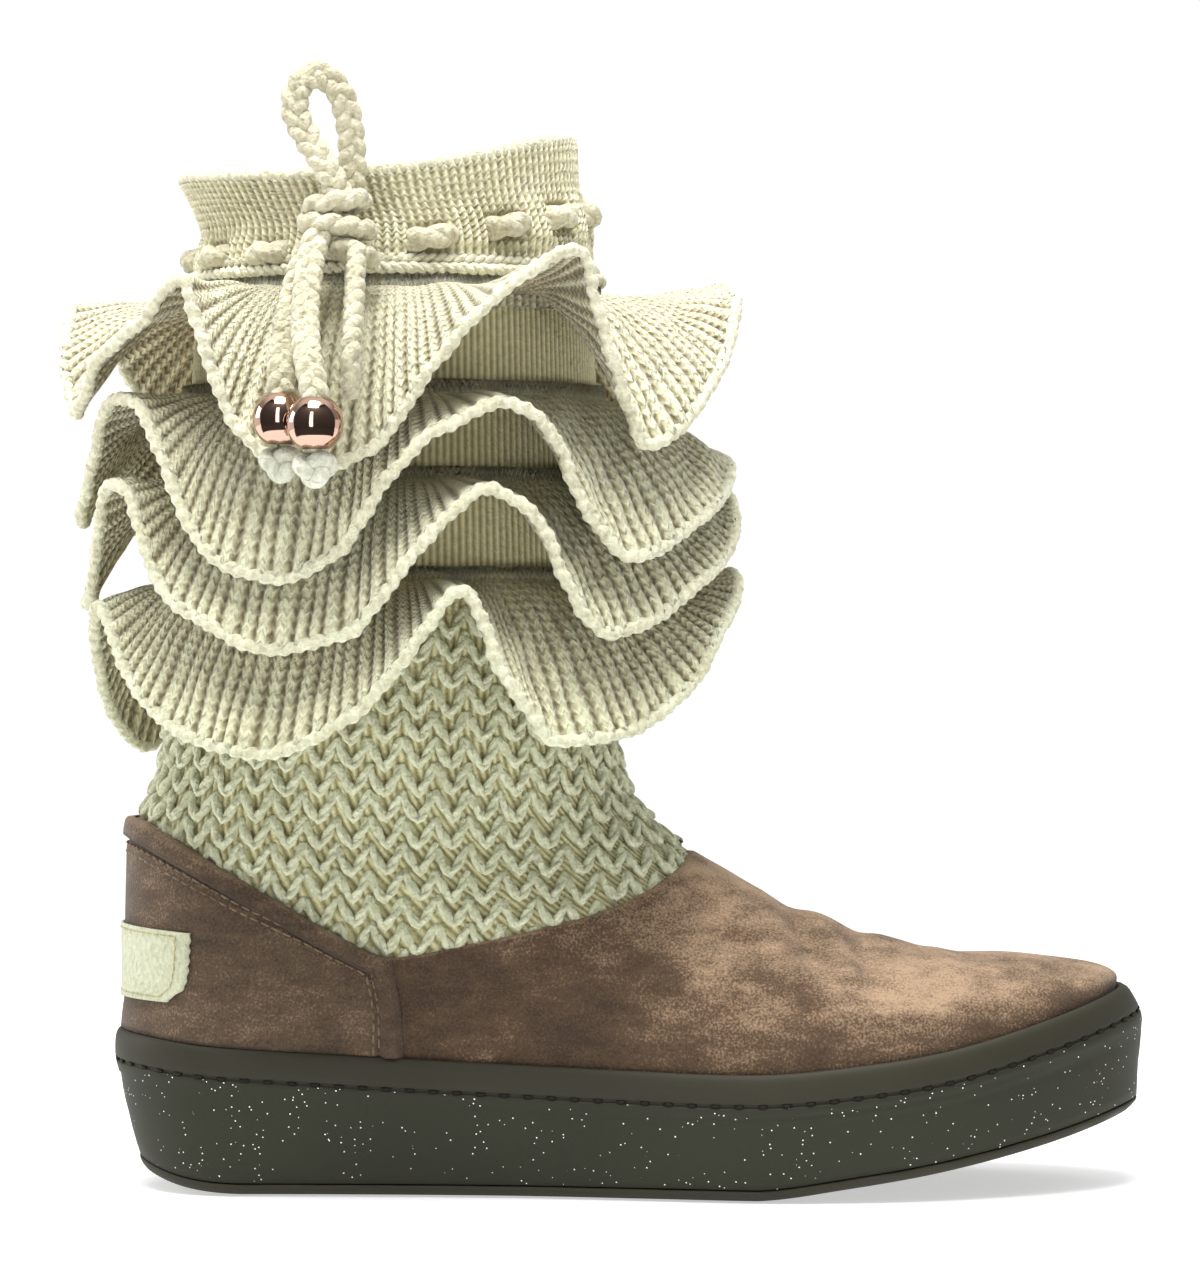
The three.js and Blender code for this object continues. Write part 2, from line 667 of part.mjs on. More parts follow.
function heelLabel() {
  const under = gap + panelThickness + gap;
  const inner = form(under, 0, lastFootSection, cupDepth);
  const cloth = form(under + labelThickness, 0, lastFootSection, 0).subtract(inner);
  return meshGeometry(cloth.intersect(sideBlock(labelOutline.map(sidePoint))));
}

// Knitted shaft: from inside the suede up to the collar
const lastSection = formRings.length - 1;
const knitOffset = -(suedeWall + gap);

// Half axes and centre of the shaft's outside at a height
function shaftEllipse(z) {
  const rows = sections.slice(firstShaftSection).map((row) => ({
    heelZ: riseHeight(row.heelRise),
    toeZ: riseHeight(row.toeRise),
    heelX: halfSole * row.heel,
    toeX: halfSole * row.toe,
    half: ballWidth * row.heelHalf,
    midZ: (riseHeight(row.heelRise) + riseHeight(row.toeRise)) / 2 - row.sag * upperHeight,
  }));
  const heelX = straight(rows, 'heelZ', 'heelX', z);
  const toeX = straight(rows, 'toeZ', 'toeX', z);
  return {
    centre: (heelX + toeX) / 2,
    rx: (toeX - heelX) / 2 + knitOffset,
    ry: straight(rows, 'midZ', 'half', z) + knitOffset,
  };
}

function straight(rows, key, column, place) {
  let low = 0;
  while (low < rows.length - 2 && place > rows[low + 1][key]) low += 1;
  const t = (place - rows[low][key]) / (rows[low + 1][key] - rows[low][key]);
  return lerp(rows[low][column], rows[low + 1][column], t);
}

// The drawstring's line around the collar, in and out of it by turns
function drawstringLine() {
  const count = drawstringBars * drawstringSteps;
  const swing = cordRadius + slotClearance + gap + knitWall / 2;
  const line = [];
  for (let i = 0; i < count; i += 1) {
    const turn = THREE.MathUtils.degToRad(drawstringBowTurn) + fullTurn * (i + 0.5) / count;
    const wave = 2 * Math.cos(drawstringBars * fullTurn * (i + 0.5) / count);
    const out = swing * THREE.MathUtils.clamp(wave, -1, 1) - knitWall / 2;
    const share = (1 + Math.cos(turn)) / 2;
    const dip = 4 * share * (1 - share) * drawstringDip;
    const z = riseHeight(lerp(drawstringRise.heel, drawstringRise.toe, share)) - dip;
    const { centre, rx, ry } = shaftEllipse(z);
    const outward = new THREE.Vector3(Math.cos(turn) / rx, Math.sin(turn) / ry, 0).normalize();
    const point = new THREE.Vector3(centre + rx * Math.cos(turn), ry * Math.sin(turn), z);
    line.push({ point: point.addScaledVector(outward, out), outward });
  }
  return line;
}

function drawstringTube(radius, sides) {
  const line = drawstringLine();
  const rings = [];
  for (let k = 0; k < sides; k += 1) {
    const angle = fullTurn * (k + 0.5) / sides;
    rings.push(line.map(({ point, outward }) => point.clone()
      .addScaledVector(outward, radius * Math.cos(angle))
      .add(new THREE.Vector3(0, 0, radius * Math.sin(angle)))));
  }
  return hoop(rings);
}

function knitShaft() {
  const tube = form(knitOffset, firstSockSection, lastSection, 0)
    .subtract(form(knitOffset - knitWall, firstSockSection, lastSection, sockTuck, 2));
  const far = soleLength;
  const edge = topline.map(sidePoint).map((point) => ({ x: point.x, z: point.z - sockTuck }));
  const front = edge[edge.length - 1];
  const region = sideBlock([
    { x: -far, z: edge[0].z },
    ...edge,
    { x: front.x, z: 2 * far },
    { x: -far, z: 2 * far },
  ]);
  const slots = solid(drawstringTube((cordRadius + slotClearance) * Math.SQRT2, 4));
  return meshGeometry(tube.intersect(region).subtract(slots));
}

// One ruffle tier: a band on the shaft and a sheet that swings out and down
function frill(tier) {
  const rootZ = riseHeight(tier.rise);
  const drop = foldTrack(tier.folds, 'drop');
  const reach = foldTrack(tier.folds, 'reach');
  const clear = gap + frillThickness / 2 + 0.1;
  const rowPoint = (turn, share, lift) => {
    const angle = THREE.MathUtils.degToRad(turn);
    const { centre, rx, ry } = shaftEllipse(rootZ + lift);
    const out = clear + reach(turn) * frillReach * share ** 0.8;
    const down = drop(turn) * frillDrop * share ** 1.3;
    return new THREE.Vector3(
      centre + (rx + out) * Math.cos(angle),
      (ry + out) * Math.sin(angle),
      rootZ + lift - down,
    );
  };
  const turns = Array.from({ length: frillPoints }, (unused, i) => 360 * i / frillPoints);
  const middle = [turns.map((turn) => rowPoint(turn, 0, frillBand))];
  tierRows.forEach((share) => middle.push(turns.map((turn) => rowPoint(turn, share, 0))));
  middle.reverse();
  const outward = normals(middle);
  const shifted = (offset) => middle.map((ring, j) => ring.map(
    (point, i) => point.clone().addScaledVector(outward[j][i], offset),
  ));
  const outside = shifted(frillThickness / 2);
  const inside = shifted(-frillThickness / 2).reverse();
  return hoop([...outside, ...inside]);
}

// The bow's cords, its knot, the beads and the knots under them
function cordGeometry(route, radius, steps, sides = 8) {
  const path = new THREE.CatmullRomCurve3(route.map((point) => new THREE.Vector3(...point)));
  const circle = new THREE.Shape();
  circle.absarc(0, 0, radius, 0, fullTurn, false);
  return new THREE.ExtrudeGeometry(circle, {
    extrudePath: path,
    steps,
    curveSegments: sides,
    bevelEnabled: false,
  });
}

// A route made longer at both ends
function lengthened(route, distance) {
  const points = route.map((point) => new THREE.Vector3(...point));
  const beyond = (end, inner) => end.clone()
    .add(end.clone().sub(inner).setLength(distance)).toArray();
  const last = points.length - 1;
  return [
    beyond(points[0], points[1]),
    ...route,
    beyond(points[last], points[last - 1]),
  ];
}

function ball(size, centre) {
  const geometry = new THREE.SphereGeometry(1, 10, 6);
  geometry.scale(size.x, size.y, size.z);
  geometry.translate(centre.x, centre.y, centre.z);
  return solid(geometry);
}

function bowKnot() {
  const wrap = ball({ x: 8.4, y: 7.0, z: 7.2 }, { ...bowCentre, z: bowCentre.z + 3 });
  const lump = ball({ x: 7.6, y: 6.6, z: 6.6 }, {
    x: bowCentre.x + 2.4,
    y: bowCentre.y - 0.6,
    z: bowCentre.z - 4.4,
  });
  let knot = wrap.add(lump);
  [loopUpRoute, loopDownRoute, endLeftRoute, endRightRoute].forEach((route) => {
    knot = knot.subtract(solid(cordGeometry(lengthened(route, 2 * gap), cordRadius + 2 * gap, 12, 6)));
  });
  return meshGeometry(knot);
}

function beadGeometry(bead) {
  const bore = cordRadius + gap;
  const steps = 6;
  const widest = beadDiameter / 2;
  const profile = [];
  const edge = Math.acos(bore / widest);
  for (let i = 0; i <= steps; i += 1) {
    const angle = lerp(-edge, edge, i / steps);
    const height = Math.sin(angle) / Math.sin(edge) * beadHeight / 2;
    profile.push(new THREE.Vector2(widest * Math.cos(angle), height));
  }
  profile.push(profile[0].clone());
  const geometry = new THREE.LatheGeometry(profile, 14);
  geometry.rotateX(Math.PI / 2);
  geometry.translate(bead.x, bead.y, bead.z);
  return meshGeometry(solid(geometry));
}

addPiece('outsole', outsole(), colours.tread);
addPiece('midsole', midsole(), colours.rubber);
addPiece('insole', insole(), colours.footbed);
addPiece('upper', upper(), colours.suede);
addPiece('heel_panel', heelPanel(), colours.heel);
addPiece('heel_label', heelLabel(), colours.label);
addPiece('knit_shaft', knitShaft(), colours.knit);
tiers.forEach((tier) => addPiece(tier.name, frill(tier), colours.frill));
addPiece('drawstring', drawstringTube(cordRadius, 6), colours.cord);
addPiece('bow_knot', bowKnot(), colours.cord);
addPiece('bow_loop_up', cordGeometry(loopUpRoute, cordRadius, 13), colours.cord);
addPiece('bow_loop_down', cordGeometry(loopDownRoute, cordRadius, 13), colours.cord);
addPiece('string_end_left', cordGeometry(endLeftRoute, cordRadius, 10), colours.cord);
addPiece('string_end_right', cordGeometry(endRightRoute, cordRadius, 10), colours.cord);
beads.forEach((bead) => {
  addPiece(`bead_${bead.name}`, beadGeometry(bead), colours.bead);
  const under = { ...bead, z: bead.z - beadHeight / 2 - gap - endKnotSize.z };
  addPiece(`end_knot_${bead.name}`, meshGeometry(ball(endKnotSize, under)), colours.cord);
});

export default group;
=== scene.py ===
# The looks of a women's mukluk boot: knitted shaft with four ruffle tiers, suede
# foot, rubber cup sole, and a drawstring bow with two beads.
# Sizes are in millimetres and turn into metres where a mesh is made.

import json
import math

import bpy
import numpy as np
from mathutils import Vector
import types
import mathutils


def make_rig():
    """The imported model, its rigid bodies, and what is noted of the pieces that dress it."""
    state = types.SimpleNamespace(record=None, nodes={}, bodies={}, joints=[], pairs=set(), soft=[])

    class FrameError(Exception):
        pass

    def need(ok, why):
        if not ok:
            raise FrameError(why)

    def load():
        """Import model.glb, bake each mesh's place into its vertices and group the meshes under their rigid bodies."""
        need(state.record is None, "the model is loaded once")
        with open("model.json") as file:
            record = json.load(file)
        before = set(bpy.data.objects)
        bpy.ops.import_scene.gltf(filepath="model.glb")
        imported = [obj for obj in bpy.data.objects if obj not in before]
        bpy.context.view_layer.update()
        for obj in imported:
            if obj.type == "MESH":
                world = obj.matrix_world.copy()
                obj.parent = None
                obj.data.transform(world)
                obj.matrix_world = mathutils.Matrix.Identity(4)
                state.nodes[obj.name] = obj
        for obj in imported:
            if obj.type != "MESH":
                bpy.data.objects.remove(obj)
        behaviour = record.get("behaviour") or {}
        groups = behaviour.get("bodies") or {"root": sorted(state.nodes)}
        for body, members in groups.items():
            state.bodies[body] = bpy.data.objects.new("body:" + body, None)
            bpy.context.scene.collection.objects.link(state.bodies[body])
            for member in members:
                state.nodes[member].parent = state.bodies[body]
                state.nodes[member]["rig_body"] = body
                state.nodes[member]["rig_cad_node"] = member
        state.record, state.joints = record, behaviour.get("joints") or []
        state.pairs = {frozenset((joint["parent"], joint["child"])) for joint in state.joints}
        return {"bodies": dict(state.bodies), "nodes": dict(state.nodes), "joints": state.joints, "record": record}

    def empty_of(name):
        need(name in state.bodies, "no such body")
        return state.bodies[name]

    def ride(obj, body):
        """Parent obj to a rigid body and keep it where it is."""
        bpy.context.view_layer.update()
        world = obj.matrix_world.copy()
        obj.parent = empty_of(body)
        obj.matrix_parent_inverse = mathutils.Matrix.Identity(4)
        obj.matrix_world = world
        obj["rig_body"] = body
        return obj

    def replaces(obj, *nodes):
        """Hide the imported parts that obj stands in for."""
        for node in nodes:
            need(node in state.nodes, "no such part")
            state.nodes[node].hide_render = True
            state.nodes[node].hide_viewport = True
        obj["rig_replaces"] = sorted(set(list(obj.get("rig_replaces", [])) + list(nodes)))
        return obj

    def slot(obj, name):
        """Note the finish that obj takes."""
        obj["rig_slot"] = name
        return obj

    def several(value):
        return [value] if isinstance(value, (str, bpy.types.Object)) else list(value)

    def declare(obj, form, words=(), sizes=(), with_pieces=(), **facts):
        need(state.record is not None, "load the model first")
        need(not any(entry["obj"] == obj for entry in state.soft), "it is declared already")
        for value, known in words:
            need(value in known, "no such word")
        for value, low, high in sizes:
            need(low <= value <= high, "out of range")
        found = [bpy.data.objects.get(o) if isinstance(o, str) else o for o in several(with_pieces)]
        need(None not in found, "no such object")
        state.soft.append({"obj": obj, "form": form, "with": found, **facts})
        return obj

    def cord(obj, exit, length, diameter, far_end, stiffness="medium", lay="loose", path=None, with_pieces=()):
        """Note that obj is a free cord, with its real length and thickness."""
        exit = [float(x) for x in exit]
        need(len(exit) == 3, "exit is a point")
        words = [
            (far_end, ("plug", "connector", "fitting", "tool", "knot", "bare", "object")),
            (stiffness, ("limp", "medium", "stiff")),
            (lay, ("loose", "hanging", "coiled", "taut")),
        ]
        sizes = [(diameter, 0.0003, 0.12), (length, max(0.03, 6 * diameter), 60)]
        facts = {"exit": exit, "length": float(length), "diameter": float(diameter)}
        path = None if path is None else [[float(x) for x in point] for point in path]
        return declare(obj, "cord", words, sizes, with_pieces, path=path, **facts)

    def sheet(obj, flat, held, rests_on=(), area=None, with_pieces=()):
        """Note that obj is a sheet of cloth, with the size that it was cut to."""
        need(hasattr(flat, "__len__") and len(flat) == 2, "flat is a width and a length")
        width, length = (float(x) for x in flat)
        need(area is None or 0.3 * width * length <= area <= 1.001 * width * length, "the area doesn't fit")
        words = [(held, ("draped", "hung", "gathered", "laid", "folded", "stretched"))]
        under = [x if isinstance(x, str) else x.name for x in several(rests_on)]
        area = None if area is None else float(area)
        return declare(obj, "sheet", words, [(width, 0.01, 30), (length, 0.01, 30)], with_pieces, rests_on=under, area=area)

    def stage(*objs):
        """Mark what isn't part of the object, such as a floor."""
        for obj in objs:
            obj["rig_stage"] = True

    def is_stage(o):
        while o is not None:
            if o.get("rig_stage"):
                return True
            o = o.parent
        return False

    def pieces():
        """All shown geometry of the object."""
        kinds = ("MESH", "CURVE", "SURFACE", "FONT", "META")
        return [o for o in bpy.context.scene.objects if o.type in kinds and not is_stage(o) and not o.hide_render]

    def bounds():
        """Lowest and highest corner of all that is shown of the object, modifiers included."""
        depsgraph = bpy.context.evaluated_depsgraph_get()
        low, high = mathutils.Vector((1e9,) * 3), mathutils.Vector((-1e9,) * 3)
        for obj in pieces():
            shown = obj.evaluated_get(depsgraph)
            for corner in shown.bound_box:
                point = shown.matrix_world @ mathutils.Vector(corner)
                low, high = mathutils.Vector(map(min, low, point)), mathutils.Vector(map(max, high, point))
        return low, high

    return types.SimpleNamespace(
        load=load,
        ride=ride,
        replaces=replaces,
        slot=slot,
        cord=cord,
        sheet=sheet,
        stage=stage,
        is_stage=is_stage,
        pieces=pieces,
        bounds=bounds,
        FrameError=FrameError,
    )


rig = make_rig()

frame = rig.load()
cad_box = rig.bounds()

# Driving sizes, the same as the solids have
SOLE_LENGTH = 268
BALL_WIDTH = 98
SOLE_HEIGHT = 41
OUTSOLE_THICKNESS = 2.7
CUP_DEPTH = 8
UPPER_HEIGHT = 54.7
SHAFT_HEIGHT = 176.7
SUEDE_WALL = 2
KNIT_WALL = 3
PANEL_THICKNESS = 1.2
TRIM_THICKNESS = 1.9
TRIM_WIDTH = 5.6
LABEL_THICKNESS = 0.6
GAP = 0.3
SOCK_TUCK = 12
FRILL_REACH = 35.5
FRILL_DROP = 50
FRILL_BAND = 4
CORD_RADIUS = 3
BEAD_DIAMETER = 13.8
BEAD_HEIGHT = 12.5
TOE_LEAN = 4
DRAWSTRING_DIP = 4.7
HALF_SOLE = SOLE_LENGTH / 2
KNIT_OFFSET = -(SUEDE_WALL + GAP)
FULL_TURN = 2 * math.pi
MM = 0.001
POINTS = 360

PLAN = np.array([  # at, half width, centre line
    (0.00, 0.350, 0.000), (0.20, 0.352, 0.000), (0.38, 0.357, -0.025), (0.50, 0.400, -0.038),
    (0.62, 0.465, -0.033), (0.72, 0.493, -0.004), (0.84, 0.470, 0.025), (1.00, 0.440, 0.060),
])
SOLE_SIDE = np.array([  # at, lip, tread
    (0.00, 1.000, 0.200), (0.04, 0.975, 0.090), (0.08, 0.945, 0.025), (0.13, 0.920, 0.000),
    (0.30, 0.858, 0.000), (0.50, 0.805, 0.000), (0.62, 0.792, 0.000), (0.70, 0.835, 0.070),
    (0.80, 0.930, 0.175), (0.90, 1.100, 0.315), (1.00, 1.300, 0.490),
])
SECTIONS = [  # heel, heel rise, toe, toe rise, heel half, toe half, heel cap, toe cap, sag, swing
    (-0.970, 0.200, 0.944, 0.250, 0.332, 0.459, 0.135, 0.26, 0.210, 1.00),
    (-0.970, 0.384, 0.881, 0.302, 0.337, 0.423, 0.140, 0.28, 0.180, 0.95),
    (-0.970, 0.567, 0.776, 0.331, 0.340, 0.388, 0.150, 0.30, 0.146, 0.85),
    (-0.969, 0.713, 0.657, 0.340, 0.342, 0.362, 0.165, 0.33, 0.120, 0.75),
    (-0.967, 0.841, 0.522, 0.398, 0.342, 0.342, 0.185, 0.36, 0.090, 0.60),
    (-0.963, 0.951, 0.388, 0.503, 0.347, 0.332, 0.210, 0.40, 0.073, 0.45),
    (-0.951, 1.016, 0.254, 0.642, 0.352, 0.332, 0.250, 0.44, 0.055, 0.30),
    (-0.933, 1.044, 0.127, 0.830, 0.362, 0.347, 0.300, 0.47, 0.037, 0.15),
    (-0.920, 1.075, 0.048, 0.996, 0.378, 0.367, 0.360, 0.50, 0.018, 0.05),
    (-0.913, 1.115, 0.004, 1.047, 0.393, 0.388, 0.420, 0.50, 0.000, 0.00),
    (-0.907, 1.171, -0.019, 1.126, 0.418, 0.418, 0.500, 0.50, 0.000, 0.00),
    (-0.881, 1.477, -0.042, 1.477, 0.459, 0.459, 0.500, 0.50, 0.000, 0.00),
    (-0.854, 1.800, -0.060, 1.834, 0.480, 0.480, 0.500, 0.50, 0.000, 0.00),
    (-0.844, 1.848, -0.075, 1.876, 0.469, 0.469, 0.500, 0.50, 0.040, 0.00),
    (-0.861, 1.887, -0.086, 1.921, 0.474, 0.474, 0.500, 0.50, 0.080, 0.00),
    (-0.887, 1.925, -0.090, 1.992, 0.490, 0.490, 0.500, 0.50, 0.124, 0.00),
]
FIRST_SHAFT_SECTION = 10
TOPLINE = np.array([  # along, rise
    (-0.965, 1.000), (-0.919, 0.965), (-0.705, 0.675), (-0.507, 0.402), (-0.448, 0.362),
    (-0.294, 0.431), (-0.094, 0.552), (0.015, 0.649), (0.075, 0.740), (0.116, 0.841),
    (0.170, 1.080),
])
HEEL_SEAM = np.array([(-0.430, -0.100), (-0.436, 0.150), (-0.446, 0.260), (-0.452, 0.362)])
LABEL_FRONT = np.array([(-0.872, 0.146), (-0.840, 0.221), (-0.828, 0.475)])

# Tiers: height of the root, then turn, drop and reach of each fold
TIERS = [
    ("frill_1", 1.760, [
        (0, 0.00, 1.00), (20, -0.10, 1.00), (60, 0.70, 0.95), (95, -0.10, 1.00),
        (130, 0.75, 0.95), (163, 0.00, 1.00), (178, 0.30, 0.93), (190, 0.60, 0.84),
        (200, 0.56, 0.84), (212, 0.36, 0.90), (226, 0.20, 0.94), (235, 0.00, 0.95),
        (240, 0.38, 0.92), (245, 0.72, 0.89), (251, 0.87, 0.86), (259, 0.94, 0.83),
        (268, 0.84, 0.84), (279, 0.42, 0.88), (291, 0.04, 0.94), (303, -0.14, 0.98),
        (310, 0.40, 0.98), (318, 0.80, 0.97), (340, 0.42, 0.99)]),
    ("frill_2", 1.607, [
        (0, 0.34, 0.93), (22, 0.27, 0.94), (60, 0.76, 0.90), (95, 0.10, 1.00),
        (126, 0.72, 0.90), (152, 0.34, 0.80), (182, 0.62, 0.74), (200, 0.30, 0.72),
        (215, 0.02, 0.80), (222, 0.06, 0.81), (229, 0.32, 0.82), (235, 0.66, 0.82),
        (243, 0.87, 0.82), (253, 0.93, 0.82), (263, 0.80, 0.83), (271, 0.46, 0.85),
        (280, 0.20, 0.88), (291, 0.07, 0.92), (298, 0.20, 0.94), (305, 0.60, 0.95),
        (314, 0.82, 0.96), (331, 0.64, 0.96), (346, 0.48, 0.94)]),
    ("frill_3", 1.483, [
        (0, 0.18, 0.94), (18, 0.00, 0.96), (58, 0.74, 0.90), (93, 0.08, 1.00),
        (116, 0.62, 0.88), (150, 0.20, 0.82), (176, 0.60, 0.70), (188, 0.56, 0.62),
        (212, 0.00, 0.72), (219, 0.05, 0.76), (226, 0.42, 0.78), (231, 0.59, 0.79),
        (238, 0.69, 0.81), (251, 0.84, 0.84), (265, 0.76, 0.85), (271, 0.56, 0.86),
        (278, 0.28, 0.88), (287, 0.06, 0.90), (296, 0.20, 0.92), (303, 0.62, 0.93),
        (309, 0.76, 0.94), (333, 0.50, 0.94)]),
    ("frill_4", 1.341, [
        (12, -0.06, 0.92), (52, 0.78, 0.90), (86, 0.08, 0.98), (112, 0.70, 0.86),
        (128, 0.40, 0.72), (150, 0.86, 0.56), (174, 0.56, 0.53), (200, 0.12, 0.60),
        (208, 0.24, 0.62), (215, 0.42, 0.66), (227, 0.66, 0.72), (238, 0.79, 0.78),
        (251, 0.85, 0.84), (266, 0.66, 0.89), (274, 0.38, 0.90), (283, 0.06, 0.90),
        (291, 0.50, 0.91), (299, 0.79, 0.92), (310, 0.76, 0.94), (330, 0.50, 0.92),
        (343, 0.20, 0.92)]),
]

# The bow's cords, as their solids run
BOW_CENTRE = np.array((-73.0, -57.0, 243.0))
LOOP_UP = [
    (-71.0, -60.4, 248.4), (-75.6, -60.9, 258.6), (-80.4, -59.6, 265.9), (-83.4, -58.4, 272.6),
    (-82.2, -57.8, 279.0), (-77.5, -57.4, 281.7), (-73.0, -56.8, 278.3), (-70.4, -55.8, 271.6),
    (-69.6, -54.6, 264.9), (-69.4, -53.9, 257.5), (-70.2, -53.8, 248.6),
]
LOOP_DOWN = [
    (-67.8, -63.0, 237.8), (-67.6, -73.6, 227.2), (-67.6, -83.0, 216.5), (-67.9, -88.6, 208.5),
    (-68.2, -85.6, 203.4), (-68.4, -79.4, 203.6), (-68.5, -75.0, 209.5), (-68.6, -70.0, 218.5),
    (-68.6, -62.2, 228.2), (-68.6, -54.6, 237.6),
]
END_LEFT = [
    (-79.9, -56.6, 239.6), (-82.8, -62.2, 228.0), (-84.8, -73.0, 215.0), (-85.1, -81.4, 207.0),
    (-85.0, -83.6, 201.0), (-85.0, -83.6, 195.0), (-85.0, -83.6, 188.8),
]
END_RIGHT = [
    (-77.6, -62.8, 241.6), (-79.2, -70.0, 231.0), (-79.3, -81.6, 217.5), (-77.6, -91.6, 206.6),
    (-76.1, -94.6, 199.6), (-76.1, -94.6, 193.4), (-76.1, -94.6, 187.2),
]
BEADS = [("left", (-85.0, -83.6, 194.9)), ("right", (-76.1, -94.6, 193.3))]
DRAWSTRING_BARS = 15
DRAWSTRING_BOW_TURN = 254
DRAWSTRING_RISE = (1.814, 1.882)


# Curves and surfaces

def lerp(a, b, t):
    return a + (b - a) * t


def hermite(t, start, slope_in, end, slope_out):
    square, cube = t * t, t * t * t
    return ((2 * cube - 3 * square + 1) * start + (cube - 2 * square + t) * slope_in
            + (3 * square - 2 * cube) * end + (cube - square) * slope_out)


def track(keys, values):
    """A smooth line through the values of a table."""
    keys, values = np.asarray(keys, float), np.asarray(values, float)
    slopes = np.empty(len(keys))
    slopes[1:-1] = (values[2:] - values[:-2]) / (keys[2:] - keys[:-2])
    slopes[0] = (values[1] - values[0]) / (keys[1] - keys[0])
    slopes[-1] = (values[-1] - values[-2]) / (keys[-1] - keys[-2])

    def at(place):
        low = np.searchsorted(keys[1:-1], place)
        span = keys[low + 1] - keys[low]
        t = np.clip((place - keys[low]) / span, 0, 1)
        return hermite(t, values[low], slopes[low] * span, values[low + 1], slopes[low + 1] * span)
    return at


def fold_track(turns, values):
    """A smooth closed line through a table of folds, level at its highs and lows."""
    turns, values = np.asarray(turns, float), np.asarray(values, float)
    spans = (np.roll(turns, -1) - turns) % 360
    rates = (np.roll(values, -1) - values) / spans
    before = np.roll(rates, 1)
    total = np.where(before + rates == 0, 1, before + rates)
    slopes = np.where(before * rates <= 0, 0, 2 * before * rates / total)

    def at(turn):
        turn = np.asarray(turn) % 360
        low = (np.searchsorted(turns, turn, side="right") - 1) % len(turns)
        high = (low + 1) % len(turns)
        t = ((turn - turns[low]) % 360) / spans[low]
        return hermite(t, values[low], slopes[low] * spans[low],
                       values[high], slopes[high] * spans[low])
    return at


plan_half = track(PLAN[:, 0], PLAN[:, 1])
plan_centre = track(PLAN[:, 0], PLAN[:, 2])
lip_share = track(SOLE_SIDE[:, 0], SOLE_SIDE[:, 1])
tread_share = track(SOLE_SIDE[:, 0], SOLE_SIDE[:, 2])


def along_sole(x):
    return np.clip((x + HALF_SOLE) / SOLE_LENGTH, 0, 1)


def lip_height(x):
    return SOLE_HEIGHT * lip_share(along_sole(x))


def tread_height(x):
    return SOLE_HEIGHT * np.maximum(0, tread_share(along_sole(x)))


def parting_height(x):
    return tread_height(x) + OUTSOLE_THICKNESS


def floor_height(x):
    return lip_height(x) - CUP_DEPTH


def rise_height(rise):
    rise = np.asarray(rise, float)
    return SOLE_HEIGHT + np.minimum(rise, 1) * UPPER_HEIGHT + np.maximum(rise - 1, 0) * SHAFT_HEIGHT


topline_track = track(HALF_SOLE * TOPLINE[:, 0], rise_height(TOPLINE[:, 1]))
heel_seam_x = track(rise_height(HEEL_SEAM[:, 1]), HALF_SOLE * HEEL_SEAM[:, 0])
label_front_x = track(rise_height(LABEL_FRONT[:, 1]), HALF_SOLE * LABEL_FRONT[:, 0])


def topline_height(x):
    """Height of the suede's edge over a place along the sole."""
    first, last = HALF_SOLE * TOPLINE[0, 0], HALF_SOLE * TOPLINE[-1, 0]
    height = topline_track(np.clip(x, first, last))
    return np.where(x > last, 1000, height)


def round_end(share, cap):
    inside = np.sqrt(np.maximum(0, 1 - ((cap - share) / cap) ** 2))
    return np.where(share >= cap, 1, inside)


def outline(heel_x, toe_x, width_at, centre_at, heel_cap, toe_cap, count=POINTS):
    index = np.arange(count)
    at = (1 - np.cos(FULL_TURN * index / count)) / 2
    side = np.where(index < count / 2, -1, 1)
    end = round_end(at, heel_cap) * round_end(1 - at, toe_cap)
    y = centre_at(at) + side * width_at(at) * end
    return np.stack([heel_x + (toe_x - heel_x) * at, y, np.zeros(count)], axis=1)


def inflate(ring, out, toe_out):
    along = np.roll(ring, -1, axis=0) - np.roll(ring, 1, axis=0)
    along /= np.linalg.norm(along, axis=1)[:, None]
    distance = lerp(out, toe_out, np.maximum(0, along[:, 1]) ** 2)
    return np.stack([ring[:, 0] + along[:, 1] * distance, ring[:, 1] - along[:, 0] * distance,
                     np.zeros(len(ring))], axis=1)


def sole_outline(count=POINTS):
    return outline(-HALF_SOLE, HALF_SOLE, lambda at: BALL_WIDTH * plan_half(at),
                   lambda at: BALL_WIDTH * plan_centre(at), 0.13, 0.25, count)


def sole_ring(out, height_at, toe_out=None, count=POINTS):
    ring = inflate(sole_outline(count), out, out if toe_out is None else toe_out)
    ring[:, 2] = height_at(np.clip(ring[:, 0], -HALF_SOLE, HALF_SOLE))
    return ring


def section_ring(row):
    heel, heel_rise, toe, toe_rise, heel_half, toe_half, heel_cap, toe_cap, sag, swing = row
    heel_x, toe_x = HALF_SOLE * heel, HALF_SOLE * toe
    spread = lambda at: (plan_half(at) - PLAN[0, 1]) / (PLAN[5, 1] - PLAN[0, 1])
    ring = outline(heel_x, toe_x,
                   lambda at: BALL_WIDTH * (heel_half + (toe_half - heel_half) * spread(at)),
                   lambda at: BALL_WIDTH * plan_centre(at) * swing, heel_cap, toe_cap)
    at = (ring[:, 0] - heel_x) / (toe_x - heel_x)
    heel_z, toe_z = rise_height(heel_rise), rise_height(toe_rise)
    ring[:, 2] = heel_z + (toe_z - heel_z) * at - 4 * at * (1 - at) * sag * UPPER_HEIGHT
    return ring


